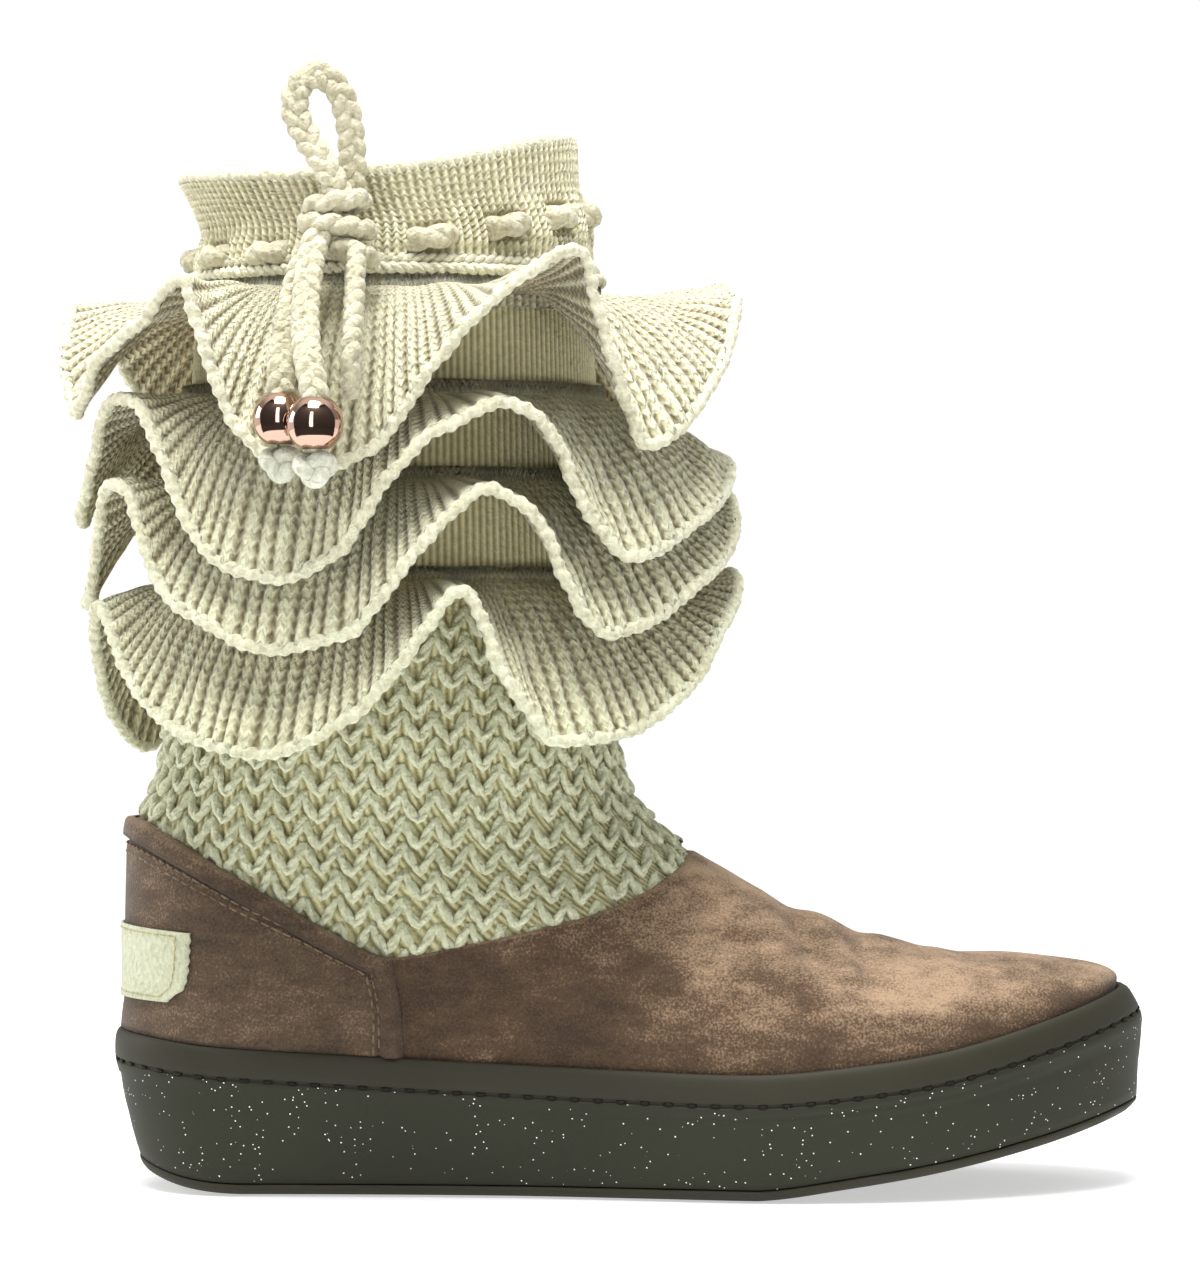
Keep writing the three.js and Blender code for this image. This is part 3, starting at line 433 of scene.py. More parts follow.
CUP_FLOOR = -4.5
CUP_LIP = -2.6
FORM = np.stack([
    sole_ring(CUP_FLOOR - GAP, lambda x: floor_height(x) + GAP, CUP_FLOOR - GAP - TOE_LEAN),
    sole_ring(CUP_LIP - GAP, lambda x: lip_height(x) - 0.5, CUP_LIP - GAP - TOE_LEAN),
    *[section_ring(row) for row in SECTIONS],
])
LAST_LEVEL = len(FORM) - 1
FORM_KEYS = np.concatenate([[0], np.cumsum(
    np.linalg.norm(np.diff(FORM, axis=0), axis=2).mean(axis=1))])
FORM_SLOPES = np.empty_like(FORM)
FORM_SLOPES[1:-1] = (FORM[2:] - FORM[:-2]) / (FORM_KEYS[2:] - FORM_KEYS[:-2])[:, None, None]
FORM_SLOPES[0] = (FORM[1] - FORM[0]) / (FORM_KEYS[1] - FORM_KEYS[0])
FORM_SLOPES[-1] = (FORM[-1] - FORM[-2]) / (FORM_KEYS[-1] - FORM_KEYS[-2])


def form_at(level):
    """Points of the boot's form: one level for each row and column of the grid."""
    low = np.clip(np.floor(level).astype(int), 0, LAST_LEVEL - 1)
    column = np.broadcast_to(np.arange(POINTS), low.shape)
    span = (FORM_KEYS[low + 1] - FORM_KEYS[low])[..., None]
    t = (level - low)[..., None]
    return hermite(t, FORM[low, column], FORM_SLOPES[low, column] * span,
                   FORM[low + 1, column], FORM_SLOPES[low + 1, column] * span)


def normals(grid, closed=True):
    """Outward directions of a grid of rows from low to high."""
    if closed:
        around = np.roll(grid, -1, axis=1) - np.roll(grid, 1, axis=1)
    else:
        around = np.gradient(grid, axis=1)
    up = np.gradient(grid, axis=0)
    outward = np.cross(around, up)
    return outward / np.maximum(np.linalg.norm(outward, axis=2, keepdims=True), 1e-9)


def moved(grid, out, closed=True):
    out = np.asarray(out, float)
    if out.ndim == 2:
        out = out[..., None]
    return grid + normals(grid, closed) * out


SCAN_STEPS = 40
SCAN = np.linspace(0, LAST_LEVEL, LAST_LEVEL * SCAN_STEPS + 1)
SCAN_POINTS = form_at(np.broadcast_to(SCAN[:, None], (len(SCAN), POINTS)))


def crossing_row(value):
    """The first fractional row in each column where a grid of values turns positive."""
    first = np.maximum((value > 0).argmax(axis=0), 1)
    column = np.arange(value.shape[1])
    before, after = value[first - 1, column], value[first, column]
    return first - 1 + np.clip(-before / (after - before), 0, 1)


def crossing_level(value):
    return crossing_row(value) / SCAN_STEPS


def level_rows(start, end, rows, ease=1.0):
    share = np.linspace(0, 1, rows) ** ease
    return start[None] + (end - start)[None] * share[:, None]


top_level = crossing_level(SCAN_POINTS[..., 2] - topline_height(SCAN_POINTS[..., 0]))


def slice_at(z, fractions):
    """Points of the form at one height, at shares of its girth from the heel."""
    ring = np.stack([[np.interp(z, SCAN_POINTS[:, c, 2], SCAN_POINTS[:, c, k]) for k in (0, 1)]
                     for c in range(POINTS)])
    ring = np.vstack([ring, ring[:1]])
    length = np.concatenate([[0], np.cumsum(np.linalg.norm(np.diff(ring, axis=0), axis=1))])
    places = (fractions % 1) * length[-1]
    return np.stack([np.interp(places, length, ring[:, 0]), np.interp(places, length, ring[:, 1]),
                     np.full(len(fractions), z)], axis=1)


def shaft_ellipse(z):
    rows = SECTIONS[FIRST_SHAFT_SECTION:]
    heel_x = np.interp(z, [rise_height(r[1]) for r in rows], [HALF_SOLE * r[0] for r in rows])
    toe_x = np.interp(z, [rise_height(r[3]) for r in rows], [HALF_SOLE * r[2] for r in rows])
    half = np.interp(z, [(rise_height(r[1]) + rise_height(r[3])) / 2 - r[8] * UPPER_HEIGHT
                         for r in rows], [BALL_WIDTH * r[4] for r in rows])
    return (heel_x + toe_x) / 2, (toe_x - heel_x) / 2 + KNIT_OFFSET, half + KNIT_OFFSET


# Meshes

def new_object(name, points, faces, uv=None, depth=None):
    mesh = bpy.data.meshes.new(name)
    mesh.from_pydata((np.asarray(points) * MM).tolist(), [],
                     faces.tolist() if isinstance(faces, np.ndarray) else faces)
    if uv is not None:
        layer = mesh.uv_layers.new(name="UVMap")
        layer.data.foreach_set("uv", np.asarray(uv, np.float32).ravel())
    # The depth attribute is relief height, which yarn finishes turn into painted groove shade.
    if depth is not None:
        values = mesh.attributes.new("depth", "FLOAT", "POINT")
        values.data.foreach_set("value", np.asarray(depth, np.float32).ravel())
    mesh.shade_smooth()
    piece = bpy.data.objects.new(name, mesh)
    bpy.context.scene.collection.objects.link(piece)
    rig.ride(piece, "root")
    return piece


def grid_faces(rows, columns, closed_rows=False, closed_columns=True):
    row = np.arange(rows if closed_rows else rows - 1)
    column = np.arange(columns if closed_columns else columns - 1)
    row, column = np.meshgrid(row, column, indexing="ij")
    above, beside = (row + 1) % rows, (column + 1) % columns
    return np.stack([row * columns + column, row * columns + beside,
                     above * columns + beside, above * columns + column], axis=2).reshape(-1, 4)


def hoop_uv(rings, wales):
    """Corner coordinates: a count of wales along the girth, and millimetres across it."""
    u = np.linspace(0, wales, rings.shape[1] + 1)
    step = np.linalg.norm(np.roll(rings, -1, axis=0) - rings, axis=2).mean(axis=1)
    v = np.concatenate([[0], np.cumsum(step)])
    both = np.stack(np.meshgrid(u, v), axis=2)
    return np.stack([both[:-1, :-1], both[:-1, 1:], both[1:, 1:], both[1:, :-1]], axis=2)


def hoop(name, rings, depth=None, wales=100):
    """A ring-shaped shell through closed rings, whose last ring joins its first."""
    rows, columns = rings.shape[:2]
    faces = grid_faces(rows, columns, True, True)
    return new_object(name, rings.reshape(-1, 3), faces, hoop_uv(rings, wales), depth)


def slab(name, outside, inside, depth=None):
    """A thin plate between two grids of the same size, closed along its four edges."""
    rows, columns = outside.shape[:2]
    count = rows * columns
    face = grid_faces(rows, columns, False, False)
    index = np.arange(count).reshape(rows, columns)
    edge = np.concatenate([index[0, :-1], index[:-1, -1], index[-1, :0:-1], index[:0:-1, 0]])
    following = np.roll(edge, -1)
    rim = np.stack([following, edge, edge + count, following + count], axis=1)
    points = np.concatenate([outside.reshape(-1, 3), inside.reshape(-1, 3)])
    values = None if depth is None else np.concatenate([np.ravel(depth), np.ravel(depth)])
    return new_object(name, points, np.concatenate([face, face[:, ::-1] + count, rim]),
                      depth=values)


def finish_piece(piece, material, slot, *nodes):
    piece.data.materials.append(material)
    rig.slot(piece, slot)
    if nodes:
        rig.replaces(piece, *nodes)
    return piece


def spline(points, step):
    """A centripetal spline through the points, with evenly spaced samples."""
    points = np.asarray(points, float)
    full = np.vstack([2 * points[0] - points[1], points, 2 * points[-1] - points[-2]])
    samples = []
    for i in range(len(points) - 1):
        p0, p1, p2, p3 = full[i:i + 4]
        d0, d1, d2 = [max(np.linalg.norm(b - a) ** 0.5, 1e-4)
                      for a, b in ((p0, p1), (p1, p2), (p2, p3))]
        in_slope = ((p1 - p0) / d0 - (p2 - p0) / (d0 + d1) + (p2 - p1) / d1) * d1
        out_slope = ((p2 - p1) / d1 - (p3 - p1) / (d1 + d2) + (p3 - p2) / d2) * d1
        t = np.linspace(0, 1, 24, endpoint=False)[:, None]
        samples.append(hermite(t, p1, in_slope, p2, out_slope))
    return resample(np.vstack([*samples, points[-1:]]), step)


def resample(line, step, closed=False):
    if closed:
        line = np.vstack([line, line[:1]])
    length = np.concatenate([[0], np.cumsum(np.linalg.norm(np.diff(line, axis=0), axis=1))])
    count = max(2, int(round(length[-1] / step)))
    places = np.linspace(0, length[-1], count + 1)
    if closed:
        places = places[:-1]
    return np.stack([np.interp(places, length, line[:, k]) for k in range(3)], axis=1)


def line_length(line):
    return float(np.linalg.norm(np.diff(line, axis=0), axis=1).sum())


def frames_along(line, closed=False, start=(0.0, -1.0, 0.0)):
    """Two directions across a line at each point, turned as little as possible."""
    if closed:
        tangent = np.roll(line, -1, axis=0) - np.roll(line, 1, axis=0)
    else:
        tangent = np.gradient(line, axis=0)
    tangent /= np.linalg.norm(tangent, axis=1)[:, None]
    side = np.array(start) - np.dot(start, tangent[0]) * tangent[0]
    if np.linalg.norm(side) < 0.1:
        side = np.cross(tangent[0], (1.0, 0.0, 0.0))
    sides = []
    for t in tangent:
        side = side - np.dot(side, t) * t
        side = side / np.linalg.norm(side)
        sides.append(side)
    sides = np.array(sides)
    if closed:
        last = sides[-1] - np.dot(sides[-1], tangent[0]) * tangent[0]
        last /= np.linalg.norm(last)
        angle = math.atan2(np.dot(np.cross(last, sides[0]), tangent[0]), np.dot(last, sides[0]))
        turn = angle * np.arange(len(line))[:, None] / len(line)
        sides = sides * np.cos(turn) + np.cross(tangent, sides) * np.sin(turn)
    return sides, np.cross(tangent, sides)


def tube(line, radius, sides, closed=False, start=(0.0, -1.0, 0.0)):
    """Points and faces of a tube, with domed ends if it is open. radius is one number
    or an array with a value for each point and side."""
    one, two = frames_along(line, closed, start)
    angle = FULL_TURN * np.arange(sides) / sides
    radius = np.broadcast_to(radius, (len(line), sides))[..., None]
    rings = (line[:, None] + one[:, None] * np.cos(angle)[None, :, None] * radius
             + two[:, None] * np.sin(angle)[None, :, None] * radius)
    if closed:
        return rings.reshape(-1, 3), grid_faces(len(line), sides, True, True)[:, ::-1].tolist()
    inward, outward = line[0] - line[1], line[-1] - line[-2]
    inward, outward = inward / np.linalg.norm(inward), outward / np.linalg.norm(outward)
    size = float(radius.mean())
    domes = []
    for ring, middle, away in ((rings[0], line[0], inward), (rings[-1], line[-1], outward)):
        domes.append(middle + (ring - middle) * 0.72 + away * size * 0.38)
    rings = np.concatenate([[domes[0]], rings, [domes[1]]])
    faces = grid_faces(len(rings), sides, False, True)[:, ::-1].tolist()
    faces.append(list(range(sides)))
    faces.append([(len(rings) - 1) * sides + k for k in range(sides)][::-1])
    return rings.reshape(-1, 3), faces


def joined(name, parts):
    """One object from several lots of points and faces."""
    points, faces, count = [], [], 0
    for part_points, part_faces in parts:
        points.append(part_points)
        faces.extend([k + count for k in face] for face in part_faces)
        count += len(part_points)
    return new_object(name, np.vstack(points), faces)


# Materials

class Finish:
    """A principled material with its nodes."""

    def __init__(self, name, roughness, **sockets):
        self.material = bpy.data.materials.new(name)
        self.material.use_nodes = True
        self.tree = self.material.node_tree
        self.shader = self.tree.nodes["Principled BSDF"]
        self.shader.inputs["Roughness"].default_value = roughness
        for socket, value in sockets.items():
            self.shader.inputs[socket.replace("_", " ")].default_value = value
        self.coordinates = self.add("ShaderNodeTexCoord")

    def add(self, kind, links=None, **settings):
        node = self.tree.nodes.new(kind)
        for key, value in settings.items():
            setattr(node, key, value)
        for socket, value in (links or {}).items():
            if isinstance(value, bpy.types.NodeSocket):
                self.tree.links.new(value, node.inputs[socket])
            else:
                node.inputs[socket].default_value = value
        return node

    def noise(self, scale, detail=3.0, space="Object", stretch=None):
        place = self.coordinates.outputs[space]
        if stretch:
            place = self.add("ShaderNodeMapping", {0: place, "Scale": stretch}).outputs[0]
        return self.add("ShaderNodeTexNoise", {
            "Vector": place, "Scale": scale, "Detail": detail}).outputs["Fac"]

    def math(self, operation, one, two=0.0, three=0.0):
        return self.add("ShaderNodeMath", {0: one, 1: two, 2: three},
                        operation=operation).outputs[0]

    def blend(self, *parts):
        """A weighted sum of pairs of a value and its weight."""
        total = 0.0
        for value, weight in parts:
            total = self.math("MULTIPLY_ADD", value, weight, total)
        return total

    def ramp(self, factor, *stops):
        node = self.add("ShaderNodeValToRGB", {0: factor})
        elements = node.color_ramp.elements
        while len(elements) < len(stops):
            elements.new(0.5)
        for element, (place, colour) in zip(elements, stops):
            element.position = place
            element.color = (*colour, 1)
        return node.outputs[0]

    def mix(self, factor, one, two, blend="MIX"):
        return self.add("ShaderNodeMix", {0: factor, 6: one, 7: two},
                        data_type="RGBA", blend_type=blend).outputs[2]

    def knit(self, row):
        """The slanted legs of knitted stitches: one wale wide, and a row high in mm."""
        place = self.add("ShaderNodeSeparateXYZ", {0: self.coordinates.outputs["UV"]}).outputs
        across = self.math("ABSOLUTE", self.math("SUBTRACT", self.math("FRACT", place[0]), 0.5))
        phase = self.math("SUBTRACT", self.math("DIVIDE", place[1], row), across)
        wave = self.math("COSINE", self.math("MULTIPLY", phase, FULL_TURN))
        return self.math("MULTIPLY_ADD", wave, 0.5, 0.5)

    def depth(self):
        """How high a point stands in its piece's relief, from 0 in a groove to 1; yarn finishes that take painted
        groove shade darken low values with it.
        """
        return self.add("ShaderNodeAttribute", attribute_name="depth").outputs["Fac"]

    def colour(self, socket):
        self.tree.links.new(socket, self.shader.inputs["Base Color"])

    def bump(self, height, distance, strength=1.0, under=None):
        links = {"Height": height, "Distance": distance, "Strength": strength}
        if under is not None:
            links["Normal"] = under
        return self.add("ShaderNodeBump", links).outputs[0]

    def relief(self, normal):
        self.tree.links.new(normal, self.shader.inputs["Normal"])


def yarn_finish(name, dark, light, painted_groove_shade=False, glow=0.0, row=0.0):
    """Woolly yarn: patches, fibres, painted shade darkening the grooves where the piece has
    relief, and painted shade darkening it lower down. A row height adds knitted stitches."""
    finish = Finish(name, 0.95, Sheen_Weight=0.3, Sheen_Roughness=0.5)
    if glow:
        finish.shader.inputs["Subsurface Weight"].default_value = glow
        finish.shader.inputs["Subsurface Radius"].default_value = (1.0, 0.7, 0.3)
        finish.shader.inputs["Subsurface Scale"].default_value = 0.006
    patches = finish.noise(55.0)
    fibres = finish.noise(620.0, 7.0)
    parts = [(patches, 0.35), (fibres, 0.65)]
    if painted_groove_shade:
        # Painted groove shade: the depth attribute darkens the colour where the relief is low.
        parts = [(patches, 0.25), (fibres, 0.3), (finish.depth(), 0.45)]
    relief = finish.bump(fibres, 0.0016, 1.0)
    if row:
        stitches = finish.knit(row)
        parts = [(value, 0.86 * weight) for value, weight in parts] + [(stitches, 0.14)]
        relief = finish.bump(stitches, 0.0007, 0.9, relief)
    shade = finish.ramp(finish.blend(*parts), (0.3, dark), (0.7, light))
    # Painted shade: lower down the colour is multiplied darker and a little greener, standing in for less light from
    # above.
    height = finish.add("ShaderNodeSeparateXYZ", {0: finish.coordinates.outputs["Object"]})
    low = finish.math("MULTIPLY_ADD", height.outputs[2], -7.7, 1.885)
    finish.colour(finish.mix(low, shade, (0.90, 0.935, 0.88, 1), "MULTIPLY"))
    finish.relief(relief)
    return finish.material


def suede_finish(name, dark, middle, light):
    """Brushed suede: streaks and clouds of nap, with a fine grain, and painted light that makes faces turned upward
    lighter.
    """
    finish = Finish(name, 0.95, Sheen_Weight=0.15, Sheen_Roughness=0.35)
    clouds = finish.noise(24.0, 5.0)
    strokes = finish.noise(110.0, 5.0, stretch=(1.0, 1.0, 2.4))
    grain = finish.noise(1700.0, 4.0)
    value = finish.blend((clouds, 0.40), (strokes, 0.24), (grain, 0.36))
    # Painted light: faces turned upward get a lighter colour, as the light falls from above.
    upward_painted_light = finish.add("ShaderNodeSeparateXYZ", {0: finish.coordinates.outputs["Normal"]})
    value = finish.math("MULTIPLY_ADD", upward_painted_light.outputs[2], 0.16, value)
    finish.colour(finish.ramp(value, (0.40, dark), (0.535, middle), (0.69, light)))
    finish.relief(finish.bump(finish.blend((grain, 0.7), (strokes, 0.6)), 0.0005, 0.8))
    return finish.material


def rubber_finish(name, base, speckled=False, ribbed=False):
    finish = Finish(name, 0.6, Specular_IOR_Level=0.2)
    patches = finish.noise(22.0)
    colour = finish.ramp(patches, (0.3, tuple(0.86 * c for c in base)), (0.7, base))
    place = finish.coordinates.outputs["Object"]
    if speckled:
        cells = finish.add("ShaderNodeTexVoronoi", {"Vector": place, "Scale": 620.0})
        rare = finish.math("GREATER_THAN", finish.noise(150.0, 2.0), 0.47)
        speck = finish.math("LESS_THAN", cells.outputs["Distance"], 0.115)
        colour = finish.mix(finish.math("MULTIPLY", speck, rare), colour, (1.0, 0.99, 0.92, 1))
    finish.colour(colour)
    relief = finish.bump(finish.noise(2600.0), 0.00012, 0.4)
    if ribbed:
        bands = finish.add("ShaderNodeTexWave", {"Vector": place, "Scale": 32.0},
                           bands_direction="DIAGONAL")
        relief = finish.bump(bands.outputs["Fac"], 0.0012, 0.7, relief)
    finish.relief(relief)
    return finish.material


# Every yarn finish carries painted shade that darkens it lower down; the three with True also take painted groove
# shade.
CORD_YARN = yarn_finish("cord_yarn", (0.36, 0.32, 0.20), (0.82, 0.78, 0.58))
KNOT_YARN = yarn_finish("knot_yarn", (0.45, 0.45, 0.35), (0.86, 0.86, 0.73))
STITCH_YARN = yarn_finish("stitch_yarn", (0.50, 0.49, 0.33), (0.88, 0.88, 0.66))
SHAFT_YARN = yarn_finish("shaft_yarn", (0.40, 0.345, 0.165), (0.92, 0.85, 0.53), True)
COLLAR_YARN = yarn_finish("collar_yarn", (0.42, 0.375, 0.20), (1.0, 0.96, 0.69), True, 0.08, 2.0)
FRILL_YARN = yarn_finish("frill_yarn", (0.20, 0.16, 0.065), (0.84, 0.80, 0.57), True, 0.2, 2.4)
HEM_YARN = yarn_finish("hem_yarn", (0.48, 0.45, 0.30), (0.95, 0.92, 0.72), False, 0.08)
SUEDE = suede_finish("suede", (0.044, 0.025, 0.013), (0.092, 0.055, 0.029), (0.36, 0.245, 0.152))
HEEL_SUEDE = suede_finish("heel_suede", (0.042, 0.026, 0.015), (0.094, 0.060, 0.034),
                          (0.30, 0.21, 0.135))
SEAM_THREAD = yarn_finish("seam_thread", (0.10, 0.062, 0.028), (0.27, 0.18, 0.085))
SOLE_RUBBER = rubber_finish("sole_rubber", (0.036, 0.034, 0.021))
SPECKLED_RUBBER = rubber_finish("speckled_rubber", (0.030, 0.031, 0.018), speckled=True)
TREAD_RUBBER = rubber_finish("tread_rubber", (0.040, 0.038, 0.024), ribbed=True)
GROOVE_THREAD = rubber_finish("groove_thread", (0.012, 0.010, 0.006))
rose_gold = Finish("rose_gold", 0.07, Metallic=1.0)
rose_gold.shader.inputs["Base Color"].default_value = (0.60, 0.39, 0.30, 1)
ROSE_GOLD = rose_gold.material
LABEL_CLOTH = yarn_finish("label_cloth", (0.46, 0.455, 0.31), (0.70, 0.70, 0.52))
LABEL_THREAD = yarn_finish("label_thread", (0.36, 0.30, 0.13), (0.56, 0.49, 0.25))
FOOTBED = yarn_finish("footbed_cloth", (0.42, 0.37, 0.25), (0.62, 0.57, 0.42))


# Camera

camera_data = bpy.data.cameras.new("camera")
camera_data.sensor_fit = "VERTICAL"
camera_data.sensor_height = 24
camera_data.lens = 84.8
camera = bpy.data.objects.new("camera", camera_data)
camera.location = (-0.0078, -1.170, 0.1426)
camera.rotation_euler = (math.pi / 2, 0, 0)
bpy.context.scene.collection.objects.link(camera)
bpy.context.scene.camera = camera
bpy.context.scene.view_settings.view_transform = "Standard"


# Cords

PLAIT_WIDTH = 7.4
PLAIT_STRAND = 1.8
PLAIT_LENGTH = 13.0
BAR_SHIFT = 4.0


def plait(line, closed=False, width=PLAIT_WIDTH, strand=PLAIT_STRAND, start=(0, -1, 0)):
    """A flat plait: strands that weave past each other along a line. Its flat side
    faces the start direction."""
    face, across = frames_along(line, closed, start)
    steps = np.linalg.norm(np.diff(line, axis=0), axis=1)
    along = np.concatenate([[0], np.cumsum(steps)])
    whole = along[-1] + (steps.mean() if closed else 0)
    turns = max(1, round(whole / PLAIT_LENGTH)) if closed else whole / PLAIT_LENGTH
    parts = []
    for k in range(3):
        phase = FULL_TURN * (turns * along / whole + k / 3)
        path = (line + across * ((width / 2 - strand) * np.sin(phase))[:, None]
                + face * (0.75 * np.sin(2 * phase))[:, None])
        parts.append(tube(path, strand, 8, closed))
    return parts


def add_cord(name, route, far_end, start, with_pieces=()):
    line = spline(route, 0.8)
    piece = joined(f"{name}_plait", plait(line, start=start))
    finish_piece(piece, CORD_YARN, "cord_yarn", name)
    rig.cord(piece, exit=(line[0] * MM).tolist(), length=line_length(line) * MM,
            diameter=PLAIT_WIDTH * MM, far_end=far_end, stiffness="limp", lay="hanging",
            path=(line[::4] * MM).tolist() + [(line[-1] * MM).tolist()], with_pieces=with_pieces)
    return piece


def bead(name, centre):
    """A round bead, flat at its bore, with a rolled edge there."""
    bore = CORD_RADIUS + GAP
    edge = math.acos(bore / (BEAD_DIAMETER / 2))
    profile = []
    for angle in np.linspace(-edge, edge, 41):
        profile.append((BEAD_DIAMETER / 2 * math.cos(angle),
                        math.sin(angle) / math.sin(edge) * BEAD_HEIGHT / 2))
    profile.append((bore + 0.1, BEAD_HEIGHT / 2 - 0.5))
    profile.append((bore + 0.1, 0.5 - BEAD_HEIGHT / 2))
    angle = FULL_TURN * np.arange(64) / 64
    rings = np.stack([np.stack([centre[0] + r * np.cos(angle), centre[1] + r * np.sin(angle),
                                np.full(64, centre[2] + z)], axis=1) for r, z in profile])
    return finish_piece(hoop(f"{name}_metal", rings), ROSE_GOLD, "bead_metal", name)


def end_knot(name, centre):
    """A small overhand knot under a bead."""
    angle = np.linspace(0, FULL_TURN, 90, endpoint=False)
    line = np.stack([(np.sin(angle) + 2 * np.sin(2 * angle)) * 1.25,
                     np.sin(3 * angle) * 1.7,
                     (np.cos(angle) - 2 * np.cos(2 * angle)) * 0.95], axis=1) + centre
    piece = joined(f"{name}_yarn", [tube(line, 2.1, 14, True)])
    return finish_piece(piece, KNOT_YARN, "cord_yarn", name)


end_pieces = {}
for side, place in BEADS:
    centre = np.array(place)
    under = centre - (0, 0, BEAD_HEIGHT / 2 + GAP + 4.2)
    end_pieces[side] = [bead(f"bead_{side}", centre), end_knot(f"end_knot_{side}", under)]


def bow_knot():
    """Two wraps of the cord round the bow's middle, and the lump where it is tucked in."""
    turn = np.linspace(0, FULL_TURN, 70, endpoint=False)
    parts = []
    for lift, rx, ry, lean in ((6.9, 5.4, 4.4, 0.1), (0.8, 6.8, 5.4, -0.1)):
        line = np.stack([rx * np.cos(turn), ry * np.sin(turn),
                         lift + lean * 8 * np.cos(turn)], axis=1) + BOW_CENTRE
        parts += plait(resample(line, 0.8, True), True, 7.4, 2.05)
    line = np.stack([3.0 + 4.4 * np.cos(turn), -0.6 + 3.6 * np.sin(turn),
                     -5.4 - 1.6 * np.cos(turn)], axis=1) + BOW_CENTRE
    parts += plait(resample(line, 0.8, True), True, 7.6, 2.1)
    piece = joined("bow_knot_wraps", parts)
    return finish_piece(piece, CORD_YARN, "cord_yarn", "bow_knot")


knot = bow_knot()
add_cord("bow_loop_up", LOOP_UP, "object", (0, -1, 0), [knot])
add_cord("bow_loop_down", LOOP_DOWN, "object", (1, 0, 0))
add_cord("string_end_left", END_LEFT, "knot", (0, -1, 0), end_pieces["left"])
add_cord("string_end_right", END_RIGHT, "knot", (0, -1, 0), end_pieces["right"])


def drawstring_wave(turn):
    """How far the drawstring is out of the collar, from -1 to 1, at a turn in radians."""
    start = math.radians(DRAWSTRING_BOW_TURN + BAR_SHIFT)
    return np.clip(2 * np.cos(DRAWSTRING_BARS * (turn - start)), -1, 1)


def drawstring_height(turn):
    lean = (1 + np.cos(turn)) / 2
    z = rise_height(lerp(DRAWSTRING_RISE[0], DRAWSTRING_RISE[1], lean))
    return z - 4 * lean * (1 - lean) * DRAWSTRING_DIP


def drawstring():
    """The twisted cord that runs in and out of the collar."""
    turn = FULL_TURN * np.arange(900) / 900
    wave = drawstring_wave(turn)
    smooth = np.hanning(13) / np.hanning(13).sum()
    wave = np.convolve(np.concatenate([wave[-6:], wave, wave[:6]]), smooth, "valid")
    out = 3.9 * wave - KNIT_WALL / 2
    z = drawstring_height(turn)
    centre, rx, ry = shaft_ellipse(z)
    outward = np.stack([np.cos(turn) / rx, np.sin(turn) / ry, np.zeros(len(turn))], axis=1)
    outward /= np.linalg.norm(outward, axis=1)[:, None]
    line = np.stack([centre + rx * np.cos(turn), ry * np.sin(turn), z], axis=1)
    line = resample(line + outward * out[:, None], 0.9, True)
    one, two = frames_along(line, True, tuple(outward[0]))
    parts = []
    for strand in range(2):
        twist = FULL_TURN * (2 * DRAWSTRING_BARS * np.arange(len(line)) / len(line) + strand / 2)
        path = line + 0.9 * (one * np.cos(twist)[:, None] + two * np.sin(twist)[:, None])
        parts.append(tube(path, 2.35, 10, True))
    return finish_piece(joined("drawstring_twist", parts), CORD_YARN, "cord_yarn", "drawstring")


drawstring()


# Sole

MIDSOLE_PROFILE = [  # out, out at the toe, share from the parting line to the lip, under
    (-6.4, -1.3, 0.00, -0.3), (-5.4, -1.2, 0.09, 0.0), (-4.4, -1.1, 0.19, 0.0),
    (-3.5, -0.9, 0.30, 0.0), (-2.6, -0.5, 0.40, 0.0), (-1.9, -0.2, 0.51, 0.0),
    (-1.4, 0.0, 0.62, 0.0), (-0.9, 0.1, 1.0, 11.2), (-0.45, -0.1, 1.0, 9.6),
    (-0.2, -0.3, 1.0, 8.75), (-0.35, -0.5, 1.0, 8.45), (-0.7, -0.95, 1.0, 8.25),
    (-0.85, -1.2, 1.0, 7.9), (-0.7, -1.2, 1.0, 7.55), (-0.2, -1.0, 1.0, 7.35),
    (0.0, -0.9, 1.0, 7.0), (0.05, -1.6, 1.0, 5.4), (0.02, -2.4, 1.0, 3.8),
    (-0.12, -3.1, 1.0, 2.4), (-0.4, -3.9, 1.0, 1.3), (-0.8, -4.7, 1.0, 0.6),
    (-1.15, -5.1, 1.0, 0.22), (-1.5, -5.5, 1.0, 0.0), (-1.95, -5.9, 1.0, 0.15),
    (-2.3, -6.3, 1.0, 0.5), (-2.6, -6.6, 1.0, 1.2), (-3.2, -7.2, 1.0, 3.6),
    (-4.5, -8.5, 1.0, 8.0), (-12.0, -12.0, 1.0, 8.0), (-24.0, -24.0, 1.0, 8.0),
]
GROOVE_ROW = 10


def midsole():
    count = 540
    rings = []
    for out, toe, share, under in MIDSOLE_PROFILE:
        height = lambda x: lerp(parting_height(x), lip_height(x), share) - under
        rings.append(sole_ring(out, height, toe, count))
    rings.append(sole_ring(-24.0, parting_height, None, count))
    piece = hoop("midsole_cup", np.stack(rings))
    finish_piece(piece, SPECKLED_RUBBER, "sole_rubber", "midsole")
    piece.data.materials.append(SOLE_RUBBER)
    rows = np.repeat(np.arange(len(rings)), count)
    piece.data.polygons.foreach_set("material_index", (rows >= GROOVE_ROW).astype(np.int32))
    return piece


